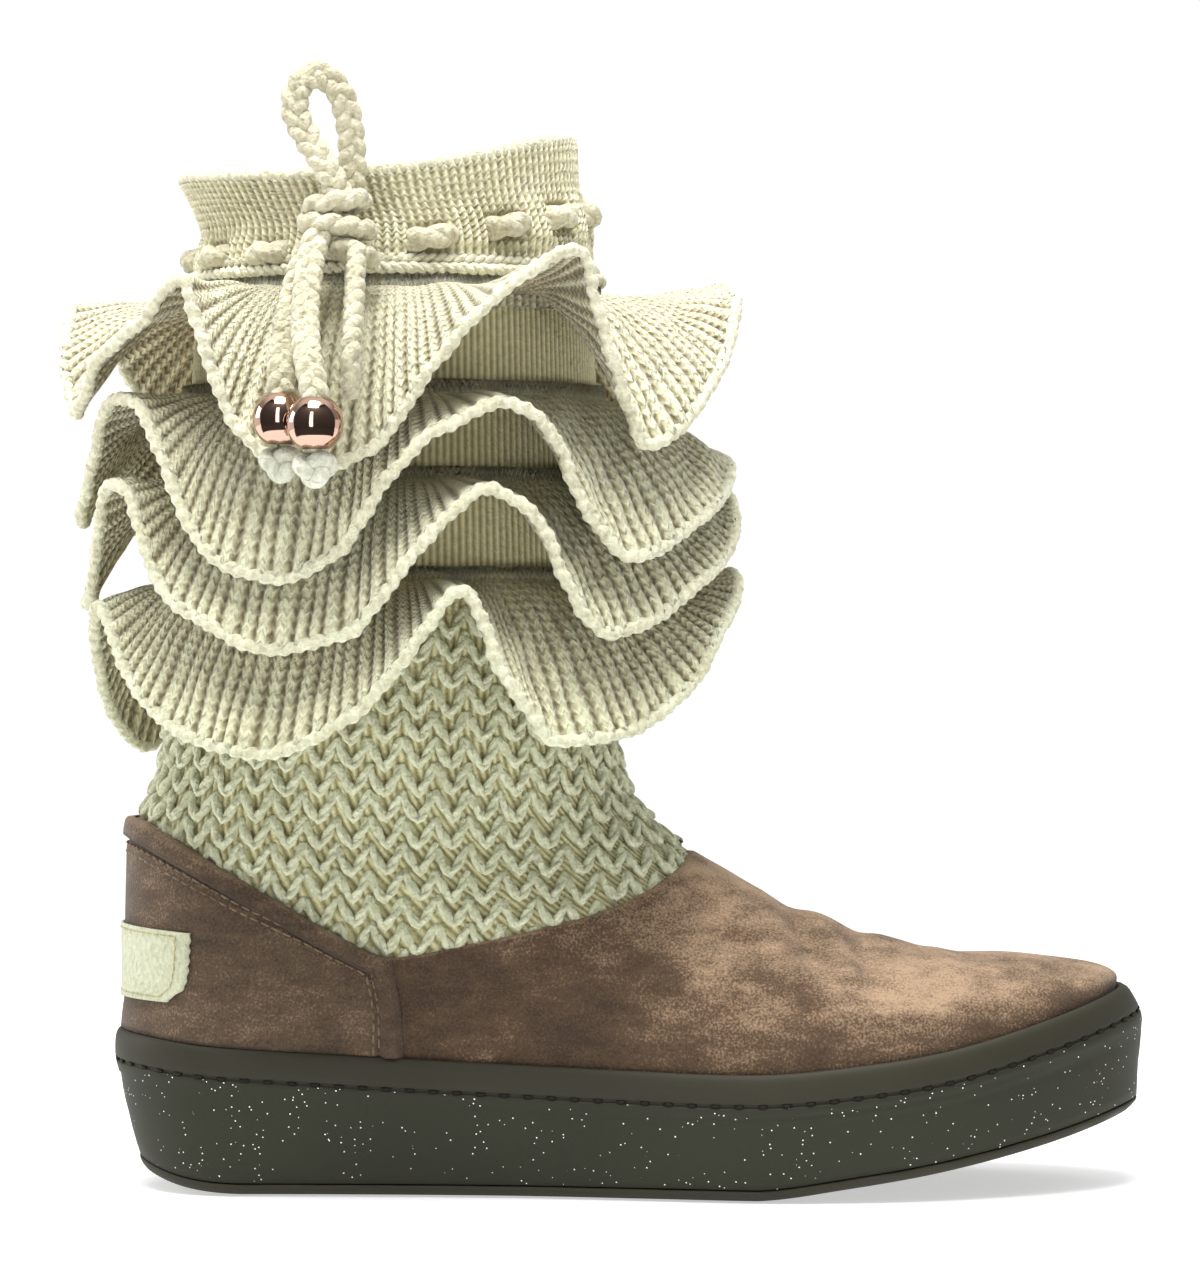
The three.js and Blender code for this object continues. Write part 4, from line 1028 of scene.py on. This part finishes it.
def outsole():
    rows = [  # out, out at the toe, height over the tread
        (-40.0, -40.0, 0.0), (-10.0, -5.2, 0.0), (-8.6, -4.1, 0.0), (-7.6, -3.2, 0.3),
        (-6.9, -2.3, 0.9), (-6.5, -1.5, 1.6), (-6.4, -1.3, 2.2), (-6.6, -1.5, 2.6),
        (-7.6, -2.5, 2.7), (-40.0, -40.0, 2.7),
    ]
    rings = np.stack([sole_ring(out, lambda x, h=height: tread_height(x) + h, toe, 540)
                      for out, toe, height in rows])
    return finish_piece(hoop("outsole_tread", rings), TREAD_RUBBER, "tread_rubber", "outsole")


def stitch_row(path, pitch, length, radius, closed=False):
    """Small stitches laid end to end along a path, as parts of a mesh."""
    line = resample(path, 0.5, closed)
    reach = int(round(length / 0.5))
    parts = []
    for start in range(0, len(line) - reach, int(round(pitch / 0.5))):
        bit = line[start:start + reach + 1:2]
        swell = np.sin(np.linspace(0.25, math.pi - 0.25, len(bit)))[:, None]
        parts.append(tube(bit, radius * (0.55 + 0.45 * swell), 5))
    return parts


def groove_stitches():
    path = sole_ring(-0.45, lambda x: lip_height(x) - 7.9, -0.95, 720)
    piece = joined("groove_stitches", stitch_row(path, 6.0, 2.5, 0.6, True))
    return finish_piece(piece, GROOVE_THREAD, "sole_rubber")


midsole()
outsole()
groove_stitches()


# Suede foot

CREASES = [  # along, rise of both ends in side view, depth, half width
    (0.30, 0.62, 0.36, 0.30, 1.3, 3.2),
    (0.44, 0.47, 0.46, 0.22, 1.0, 3.0),
    (0.56, 0.38, 0.57, 0.18, 0.7, 2.8),
    (-0.10, 0.50, 0.06, 0.16, 0.8, 4.0),
    (-0.30, 0.38, -0.22, 0.10, 0.7, 3.6),
    (0.14, 0.60, 0.22, 0.34, 0.9, 3.4),
]


def crease_depth(grid):
    """How deep the listed creases press into the suede, with soft raised lips."""
    total = np.zeros(grid.shape[:2])
    flat = grid[..., [0, 2]]
    for along_0, rise_0, along_1, rise_1, depth, half in CREASES:
        start = np.array((HALF_SOLE * along_0, float(rise_height(rise_0))))
        end = np.array((HALF_SOLE * along_1, float(rise_height(rise_1))))
        span = end - start
        t = np.clip(((flat - start) @ span) / (span @ span), 0, 1)
        distance = np.linalg.norm(flat - start - t[..., None] * span, axis=2)
        fade = np.sin(math.pi * np.clip(0.12 + 0.76 * t, 0, 1))
        total += depth * fade * (np.exp(-(distance / half) ** 2)
                                 - 0.45 * np.exp(-((distance - 1.9 * half) / half) ** 2))
    return total


def soft_waves(grid, size, depth):
    """Slow dents and swellings, worked out from the place alone."""
    x, y, z = (grid[..., k] / size for k in range(3))
    return depth * (np.sin(1.3 * x + 0.7 * z + 0.4) * np.sin(1.1 * z - 0.6 * y + 1.0)
                    + 0.6 * np.sin(2.3 * x - 1.7 * z + 0.8 * y + 2.0))


UPPER_ROWS = 96


def upper():
    levels = level_rows(np.zeros(POINTS), top_level, UPPER_ROWS)
    base = form_at(levels)
    edge = np.linspace(0, 1, UPPER_ROWS)[:, None]
    free = np.clip((base[..., 2] - lip_height(base[..., 0]) - 1.0) / 6.0, 0, 1)
    out = (soft_waves(base, 11.0, 0.28) - crease_depth(base)) * free
    out = out - 0.9 * np.clip((edge - 0.985) / 0.015, 0, 1) ** 2
    outer = moved(base, np.minimum(out, 0.8))
    inner = moved(form_at(level_rows(np.zeros(POINTS), top_level, 24)), -SUEDE_WALL)
    piece = hoop("upper_suede", np.concatenate([outer, inner[::-1]]))
    return finish_piece(piece, SUEDE, "suede", "upper")


upper()


# Heel counter and label

def wrap_grid(front_x, low_height, high_height, columns, rows):
    """A grid on the form that wraps the heel, from its front edge on the inner side to
    the one on the outer side, between two heights that depend on the place."""
    part = SCAN_POINTS[:12 * 40]
    half = POINTS // 2
    column = np.arange(half + 1)
    across = np.linspace(-1, 1, columns)
    wide = np.empty((len(part), columns, 3))
    for k, ring in enumerate(part):
        edge = float(front_x(ring[0, 2]))
        for sign in (-1, 1):
            side = ring[(sign * column) % POINTS]
            last = np.interp(front_x(float(np.interp(edge, side[:, 0], side[:, 2]))),
                             side[:, 0], column)
            chosen = across * sign >= 0
            places = np.abs(across[chosen]) * last
            for axis in range(3):
                wide[k, chosen, axis] = np.interp(places, column, side[:, axis])
    low = crossing_row(wide[..., 2] - low_height(wide[..., 0]))
    high = crossing_row(wide[..., 2] - high_height(wide[..., 0]))
    place = low + (high - low) * np.linspace(0, 1, rows)[:, None]
    whole = np.clip(place.astype(int), 0, len(part) - 2)
    t = (place - whole)[..., None]
    index = np.arange(columns)[None]
    return wide[whole, index] * (1 - t) + wide[whole + 1, index] * t


def edge_distance(grid):
    """Distance of each point of a grid from its top edge and from its two front edges."""
    up = np.linalg.norm(np.diff(grid, axis=0), axis=2)
    from_top = np.vstack([np.cumsum(up[::-1], axis=0)[::-1], np.zeros((1, grid.shape[1]))])
    around = np.linalg.norm(np.diff(grid, axis=1), axis=2)
    left = np.hstack([np.zeros((len(grid), 1)), np.cumsum(around, axis=1)])
    return from_top, np.minimum(left, left[:, -1:] - left)


def heel_panel():
    """The heel counter with its rolled trim and the rows of stitches along it."""
    grid = wrap_grid(heel_seam_x, lambda x: lip_height(x) + GAP, topline_height, 181, 56)
    from_top, from_front = edge_distance(grid)
    edge = np.minimum(from_top, from_front)
    rise = np.clip((TRIM_WIDTH - edge) / 0.9, 0, 1)
    roll = np.sqrt(np.clip(1 - (1 - np.clip(edge / 1.6, 0, 1)) ** 2, 0, 1))
    height = PANEL_THICKNESS + rise * (TRIM_THICKNESS - PANEL_THICKNESS + 0.5)
    groove = np.exp(-((edge - TRIM_WIDTH - 0.6) / 0.8) ** 2)
    dents = soft_waves(grid, 9.0, 0.16) * np.clip((edge - TRIM_WIDTH) / 4, 0, 1)
    out = GAP + 0.35 + (height - 0.35) * roll - 0.75 * groove + dents
    outside = moved(grid, out, False)
    inside = moved(grid, GAP, False)
    piece = slab("heel_counter", outside, inside)
    finish_piece(piece, HEEL_SUEDE, "heel_suede", "heel_panel")
    parts = []
    for inset in (TRIM_WIDTH + 0.4, TRIM_WIDTH + 2.2):
        row = int(np.argmin(np.abs(from_top.mean(axis=1) - inset)))
        lay = moved(grid, PANEL_THICKNESS + GAP - 0.1, False)
        first = int(np.argmin(np.abs(from_front[row, :90] - inset)))
        last = 180 - first
        path = np.concatenate([lay[:row, first], lay[row, first:last], lay[:row, last][::-1]])
        parts += stitch_row(path, 3.0, 2.2, 0.34)
    finish_piece(joined("heel_stitches", parts), SEAM_THREAD, "heel_suede")
    return piece


def heel_label():
    """The bare cloth label round the heel, with a pinked front edge and border stitches."""
    pinked = lambda z: label_front_x(z) + 0.45 * np.abs((np.asarray(z) / 1.3) % 2 - 1)
    low = lambda x: np.interp(x, [-HALF_SOLE, -0.881 * HALF_SOLE], rise_height([0.150, 0.146]))
    high = lambda x: np.interp(x, [-HALF_SOLE, -0.837 * HALF_SOLE], rise_height([0.503, 0.475]))
    grid = wrap_grid(pinked, low, high, 61, 60)
    under = GAP + PANEL_THICKNESS + GAP
    piece = slab("heel_label_cloth", moved(grid, under + LABEL_THICKNESS, False),
                 moved(grid, under, False))
    finish_piece(piece, LABEL_CLOTH, "label_cloth", "heel_label")
    lay = moved(grid, under + LABEL_THICKNESS + 0.05, False)
    border = np.concatenate([lay[4, 4:-4], lay[4:-4, -4], lay[-5, 4:-4][::-1], lay[4:-4, 4][::-1]])
    parts = stitch_row(border, 2.5, 1.8, 0.24)
    finish_piece(joined("label_stitches", parts), LABEL_THREAD, "label_cloth")
    return piece


heel_panel()
heel_label()
bpy.data.objects["insole"].data.materials.clear()
bpy.data.objects["insole"].data.materials.append(FOOTBED)


# Knitted shaft

SHAFT_ROWS = 70
SHAFT_INNER_ROWS = 16
COLLAR_ROWS = 46
STITCH_WIDE = 8.4
STITCH_ROW = 6.7
STITCH_CENTRE = -62.0
PLY = 0.92


def shaft():
    """The ribbed shell of the shaft, finely ribbed under the ruffles."""
    low = crossing_level(SCAN_POINTS[..., 2] - (topline_height(SCAN_POINTS[..., 0]) - SOCK_TUCK))
    high = crossing_level(SCAN_POINTS[..., 2] - float(rise_height(1.75)))
    outer = moved(form_at(level_rows(low, high, SHAFT_ROWS)), KNIT_OFFSET)
    inner = moved(form_at(level_rows(low, high, SHAFT_INNER_ROWS)), KNIT_OFFSET - KNIT_WALL)
    rib = 0.5 + 0.5 * np.cos(math.pi * np.arange(POINTS))
    relief = np.tile(rib, (SHAFT_ROWS + SHAFT_INNER_ROWS, 1))
    rings = np.concatenate([moved(outer, -0.5 * relief[:SHAFT_ROWS]), inner[::-1]])
    # The depth attribute, 1 - relief, is painted groove shade: the pressed-in ribs take the yarn's dark colour.
    piece = hoop("shaft_knit", rings, 1 - relief)
    return finish_piece(piece, SHAFT_YARN, "shaft_knit", "knit_shaft")


def collar_grid(low_rise, rows, columns):
    """Rows of the collar from a height on the shaft to the rim, at an even girth."""
    high = np.full(POINTS, float(LAST_LEVEL))
    low = crossing_level(SCAN_POINTS[..., 2] - float(rise_height(low_rise)))
    coarse = form_at(level_rows(low, high, rows))
    coarse = np.concatenate([coarse, coarse[:, :1]], axis=1)
    steps = np.linalg.norm(np.diff(coarse, axis=1), axis=2).mean(axis=0)
    girth = np.concatenate([[0], np.cumsum(steps)])
    places = girth[-1] * np.arange(columns) / columns
    return np.stack([[np.interp(places, girth, row[:, k]) for k in range(3)]
                     for row in coarse]).transpose(0, 2, 1)


def collar():
    """The collar: fine wales, a rolled rim and two twisted rows over the top tier."""
    wales, each = 132, 6
    columns = wales * each
    grid = collar_grid(1.735, COLLAR_ROWS, columns)
    wave = 0.5 + 0.5 * np.cos(FULL_TURN * wales * np.arange(columns) / columns)
    rows = np.linspace(0, 1, COLLAR_ROWS)[:, None]
    knobs = 0.9 + 0.1 * np.cos(FULL_TURN * 19 * rows)
    relief = np.broadcast_to(wave, (COLLAR_ROWS, columns)) * knobs
    x, y, z = grid[..., 0], grid[..., 1], grid[..., 2]
    middle_x = (x.max(axis=1, keepdims=True) + x.min(axis=1, keepdims=True)) / 2
    turn = np.arctan2(y * 1.12, x - middle_x)
    away = (z - drawstring_height(turn)) / 3.4
    bar = np.clip(drawstring_wave(turn) + 0.4, 0, 1)
    trough = bar * np.exp(-away ** 4)
    bridge = np.clip(-drawstring_wave(turn), 0, 1) * np.exp(-(away / 1.8) ** 4)
    # slot: painted shadow in thin lines just above and below each exposed drawstring bar.
    slot = bar * np.exp(-((np.abs(away) - 1.05) / 0.3) ** 2)
    out = 0.85 * relief - 1.7 * trough + bridge * (0.9 + 0.8 * wave[None])
    outer = moved(grid, KNIT_OFFSET + out)
    inner = moved(grid[::4], KNIT_OFFSET - KNIT_WALL - 0.4 * wave[None])
    # The depth attribute carries painted shade: dark wale grooves, and the painted slot shadow around the bars.
    shade = relief * (1 - 0.9 * slot)
    depth = np.concatenate([shade, np.broadcast_to(wave, (len(inner), columns))])
    piece = hoop("collar_knit", np.concatenate([outer, inner[::-1]]), depth, wales)
    finish_piece(piece, COLLAR_YARN, "shaft_knit", "knit_shaft")
    middle = moved(grid, KNIT_OFFSET - KNIT_WALL / 2)[-1]
    line = resample(middle, 0.9, True)
    along = np.arange(len(line))[:, None] * FULL_TURN * wales / len(line)
    around = FULL_TURN * np.arange(12)[None] / 12
    radius = 2.0 + 0.28 * np.cos(along + 0.6 * np.sin(around))
    rim = joined("collar_rim", [tube(line, radius, 12, True)])
    finish_piece(rim, HEM_YARN, "shaft_knit")
    parts = []
    for k, (rise, size, out) in enumerate(((1.801, 0.9, 0.8), (1.786, 1.05, 2.2))):
        ring = collar_grid(rise, 3, 900)
        ring = moved(ring, KNIT_OFFSET + out)[0]
        line = resample(ring, 0.7, True)
        phase = FULL_TURN * round(len(line) * 0.7 / 5.2) * np.arange(len(line)) / len(line)
        one, two = frames_along(line, True, (0, 0, 1))
        for turn in (0, math.pi):
            twist = phase * (1 if k else -1) + turn
            path = line + 0.62 * (one * np.cos(twist)[:, None] + two * np.sin(twist)[:, None])
            parts.append(tube(path, size, 6, True))
    finish_piece(joined("collar_chain_rows", parts), HEM_YARN, "shaft_knit")
    return piece


def stitch_shape():
    """Across, up and out of one V of thick yarn, from one arm to the other."""
    t = np.linspace(-1, 1, 13)
    across = STITCH_WIDE / 2 * np.sign(t) * np.abs(t) ** 0.9
    up = 6.6 * np.abs(t) ** 1.15 - 3.0
    out = np.cos(t * math.pi / 2) ** 0.8
    return across, up, np.nan_to_num(out)


def shaft_stitches():
    """Thick loops in offset rows over the lower shaft, set out from its outer side."""
    across, up, out = stitch_shape()
    fine = 720
    top = float(rise_height(1.335)) - 3
    levels = np.arange(48.0, top + 8, 1.0)
    stack = np.stack([slice_at(z, np.arange(fine) / fine) for z in levels])
    outward = normals(stack)
    girth = np.linalg.norm(stack - np.roll(stack, 1, axis=1), axis=2).sum(axis=1)
    start = np.array([np.interp(STITCH_CENTRE, ring[:fine // 2, 0], np.arange(fine // 2)) / fine
                      for ring in stack])

    def surface(distance, z):
        row = np.clip(z - levels[0], 0, len(levels) - 1.001)
        low = row.astype(int)
        t = row - low
        place = lerp(start[low], start[low + 1], t) + distance / lerp(girth[low], girth[low + 1], t)
        column = (place % 1) * fine
        left = column.astype(int) % fine
        right = (left + 1) % fine
        s, t = (column - column.astype(int))[:, None], t[:, None]
        mix = lambda g: ((g[low, left] * (1 - s) + g[low, right] * s) * (1 - t)
                         + (g[low + 1, left] * (1 - s) + g[low + 1, right] * s) * t)
        return mix(stack), mix(outward)

    parts = []
    for index, z in enumerate(np.arange(52.0, top, STITCH_ROW)):
        reach = girth[int(z - levels[0])] / 2
        half = int(reach // STITCH_WIDE)
        for k in range(-half, half + 1):
            distance = k * STITCH_WIDE
            if abs(distance) > reach - STITCH_WIDE / 3:
                continue
            wobble = 0.35 * math.sin(2.1 * k + 1.3 * index)
            points, away = surface(distance + wobble + across, z + up + wobble)
            show = np.clip((points[:, 2] - topline_height(points[:, 0]) + 1.5) / 3.5, 0, 1)
            if show.max() < 0.05:
                continue
            lift = KNIT_OFFSET - 1.0 + show * (0.9 + 1.5 * out)
            line = points + away * lift[:, None]
            one, two = frames_along(line, False, tuple(away[0]))
            twist = np.linspace(0, FULL_TURN * 1.5, len(line)) + k + index
            turned = one * np.cos(twist)[:, None] + two * np.sin(twist)[:, None]
            parts += [tube(line + turned * side * 0.6 * PLY, PLY, 5) for side in (-1, 1)]
    piece = joined("shaft_stitches", parts)
    return finish_piece(piece, STITCH_YARN, "shaft_knit")


shaft()
collar()
shaft_stitches()


# Ruffle tiers

RIB = 4.8
FRILL_COLUMNS = 1200


def frill_grid(root_z, folds, turns, shares):
    folds = np.array(folds, float)
    drop = fold_track(folds[:, 0], folds[:, 1])(turns)
    reach = fold_track(folds[:, 0], folds[:, 2])(turns)
    angle = np.radians(turns)
    rows = []
    for share, lift in shares:
        centre, rx, ry = shaft_ellipse(root_z + lift)
        out = GAP + 1.6 + reach * FRILL_REACH * share ** 0.8
        down = drop * FRILL_DROP * share ** 1.3
        rows.append(np.stack([centre + (rx + out) * np.cos(angle), (ry + out) * np.sin(angle),
                              root_z + lift - down], axis=1))
    return np.stack(rows)


def even_turns(root_z, folds):
    """Turns that space the hem evenly, with a little left of the even turn."""
    turns = np.linspace(0, 360, 3601)
    hem = frill_grid(root_z, folds, turns, [(1.0, 0.0)])[0]
    length = np.concatenate([[0], np.cumsum(np.linalg.norm(np.diff(hem, axis=0), axis=1))])
    measure = 0.85 * length / length[-1] + 0.15 * turns / 360
    return np.interp(np.arange(FRILL_COLUMNS) / FRILL_COLUMNS, measure, turns), float(length[-1])


def frill(name, rise, folds):
    """A ribbed sheet, gathered at its root, with a knobbly chain along its hem."""
    root_z = float(rise_height(rise))
    turns, hem = even_turns(root_z, folds)
    shares = [(s, 0.0) for s in np.linspace(1, 0, 21)] + [(0.0, FRILL_BAND)]
    middle = frill_grid(root_z, folds, turns, shares)
    middle = moved(middle, soft_waves(middle, 5.0, 0.45))
    depth = float(np.linalg.norm(np.diff(middle, axis=0), axis=2).sum(axis=0).mean())
    ribs = round(hem / RIB)
    round_hem = FULL_TURN * np.arange(FRILL_COLUMNS) / FRILL_COLUMNS
    uneven = 0.9 * np.sin(17 * round_hem) + 0.7 * np.sin(41 * round_hem + 1)
    wave = 1 - (0.5 + 0.5 * np.cos(ribs * round_hem + uneven)) ** 2.5
    rows = np.array([s for s, _ in shares])[:, None]
    swell = 0.72 + 0.28 * np.sin(23 * round_hem[None] + 5 * rows) * np.sin(9 * rows + 2)
    relief = (0.15 + 0.85 * rows) * wave[None] * swell
    outside = moved(middle, 0.5 + 1.3 * relief)
    coarse = middle[::2]
    inside = moved(coarse, -0.75 - 0.7 * (0.35 + 0.65 * rows[::2]) * (1 - wave[None]))
    # levels is the depth attribute: painted groove shade between the ribs, fading out toward the root.
    fade = np.sqrt(rows)
    levels = np.concatenate([lerp(0.75, wave[None], fade),
                             lerp(0.6, (1 - wave[None]) ** 0.7, fade[::2])[::-1]])
    piece = hoop(f"{name}_cloth", np.concatenate([outside, inside[::-1]]), levels, 2 * ribs)
    finish_piece(piece, FRILL_YARN, "frill_knit", name)

    line = resample(middle[0], 0.8, True)
    along = FULL_TURN * 1.3 * ribs * np.arange(len(line))[:, None] / len(line)
    around = FULL_TURN * np.arange(8)[None] / 8
    radius = 1.6 + 0.3 * np.cos(along + around) + 0.15 * np.sin(0.37 * along)
    chain = joined(f"{name}_hem", [tube(line, radius, 8, True)])
    finish_piece(chain, HEM_YARN, "frill_knit")

    side_one = np.diff(middle, axis=1)[:-1]
    side_two = np.diff(middle, axis=0)[:, :-1]
    area = float(np.linalg.norm(np.cross(side_one, side_two), axis=2).sum())
    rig.sheet(piece, flat=(hem * MM, depth * MM), held="gathered", rests_on=["knit_shaft"],
             area=min(area, hem * depth) * MM * MM, with_pieces=[chain])
    return piece


for tier in TIERS:
    frill(*tier)


# Studio

def stage_piece(name, points, faces, colour, glow):
    mesh = bpy.data.meshes.new(name)
    mesh.from_pydata(points, [], faces)
    mesh.shade_smooth()
    piece = bpy.data.objects.new(name, mesh)
    bpy.context.scene.collection.objects.link(piece)
    finish = Finish(name, 0.9)
    finish.shader.inputs["Base Color"].default_value = (*colour, 1)
    finish.shader.inputs["Emission Color"].default_value = (1, 1, 1, 1)
    finish.shader.inputs["Emission Strength"].default_value = glow
    mesh.materials.append(finish.material)
    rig.stage(piece)
    return piece


def area_light(name, place, target, size, power, colour=(1, 1, 1)):
    light = bpy.data.lights.new(name, "AREA")
    light.shape = "RECTANGLE"
    light.size, light.size_y = size
    light.energy = power
    light.color = colour
    lamp = bpy.data.objects.new(name, light)
    lamp.location = place
    lamp.rotation_euler = (Vector(target) - Vector(place)).to_track_quat("-Z", "Y").to_euler()
    bpy.context.scene.collection.objects.link(lamp)
    return lamp


FLOOR = 0.9
stage_piece("floor", [(-FLOOR, -FLOOR, -0.0005), (FLOOR, -FLOOR, -0.0005),
                      (FLOOR, FLOOR, -0.0005), (-FLOOR, FLOOR, -0.0005)],
            [(0, 1, 2, 3)], (0.62, 0.62, 0.62), 0.52)


def dark_screen():
    """A dark half round wall and the floor before it, which only the beads mirror."""
    angle = np.radians(np.linspace(-175, -5, 18))
    rows = [(0.28, 0.001), (0.8, 0.001), (0.8, 1.9)]
    points = [(r * math.cos(a) - 0.08, r * math.sin(a), z) for r, z in rows for a in angle]
    return stage_piece("dark_screen", points, grid_faces(3, 18, False, False).tolist(),
                       (0.01, 0.01, 0.01), 0.0)


light_strip = stage_piece("light_strip", [(-0.30, -0.74, 0.03), (-0.13, -0.74, 0.03),
                                          (-0.13, -0.74, 0.8), (-0.30, -0.74, 0.8)],
                          [(0, 1, 2, 3)], (0.9, 0.9, 0.9), 2.0)
for screen in (dark_screen(), light_strip):
    screen.visible_camera = False
    screen.visible_diffuse = False
    screen.visible_shadow = False


def studio_light():
    """White all round at the camera's height, dimmer over it, and bright overhead."""
    world = bpy.data.worlds.new("studio")
    bpy.context.scene.world = world
    world.use_nodes = True
    nodes, links = world.node_tree.nodes, world.node_tree.links
    place = nodes.new("ShaderNodeTexCoord")
    split = nodes.new("ShaderNodeSeparateXYZ")
    ramp = nodes.new("ShaderNodeValToRGB")
    links.new(place.outputs["Generated"], split.inputs[0])
    links.new(split.outputs["Z"], ramp.inputs[0])
    links.new(ramp.outputs[0], nodes["Background"].inputs["Color"])
    stops = ((0.0, 1.0), (0.14, 1.0), (0.2, 0.3), (0.6, 0.35), (0.85, 1.0))
    while len(ramp.color_ramp.elements) < len(stops):
        ramp.color_ramp.elements.new(0.5)
    for element, (height, level) in zip(ramp.color_ramp.elements, stops):
        element.position = height
        element.color = (level, level, level, 1)
    nodes["Background"].inputs["Strength"].default_value = 1.05


studio_light()
area_light("key", (-0.12, -0.4, 1.5), (-0.03, 0, 0.13), (0.8, 0.8), 34)
area_light("left", (-1.5, 0.4, 0.6), (-0.06, 0, 0.15), (0.6, 0.6), 9)

with open("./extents.json", "w") as file:
    json.dump({"cad": [list(map(float, corner)) for corner in cad_box],
               "visual": [list(map(float, corner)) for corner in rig.bounds()]}, file)
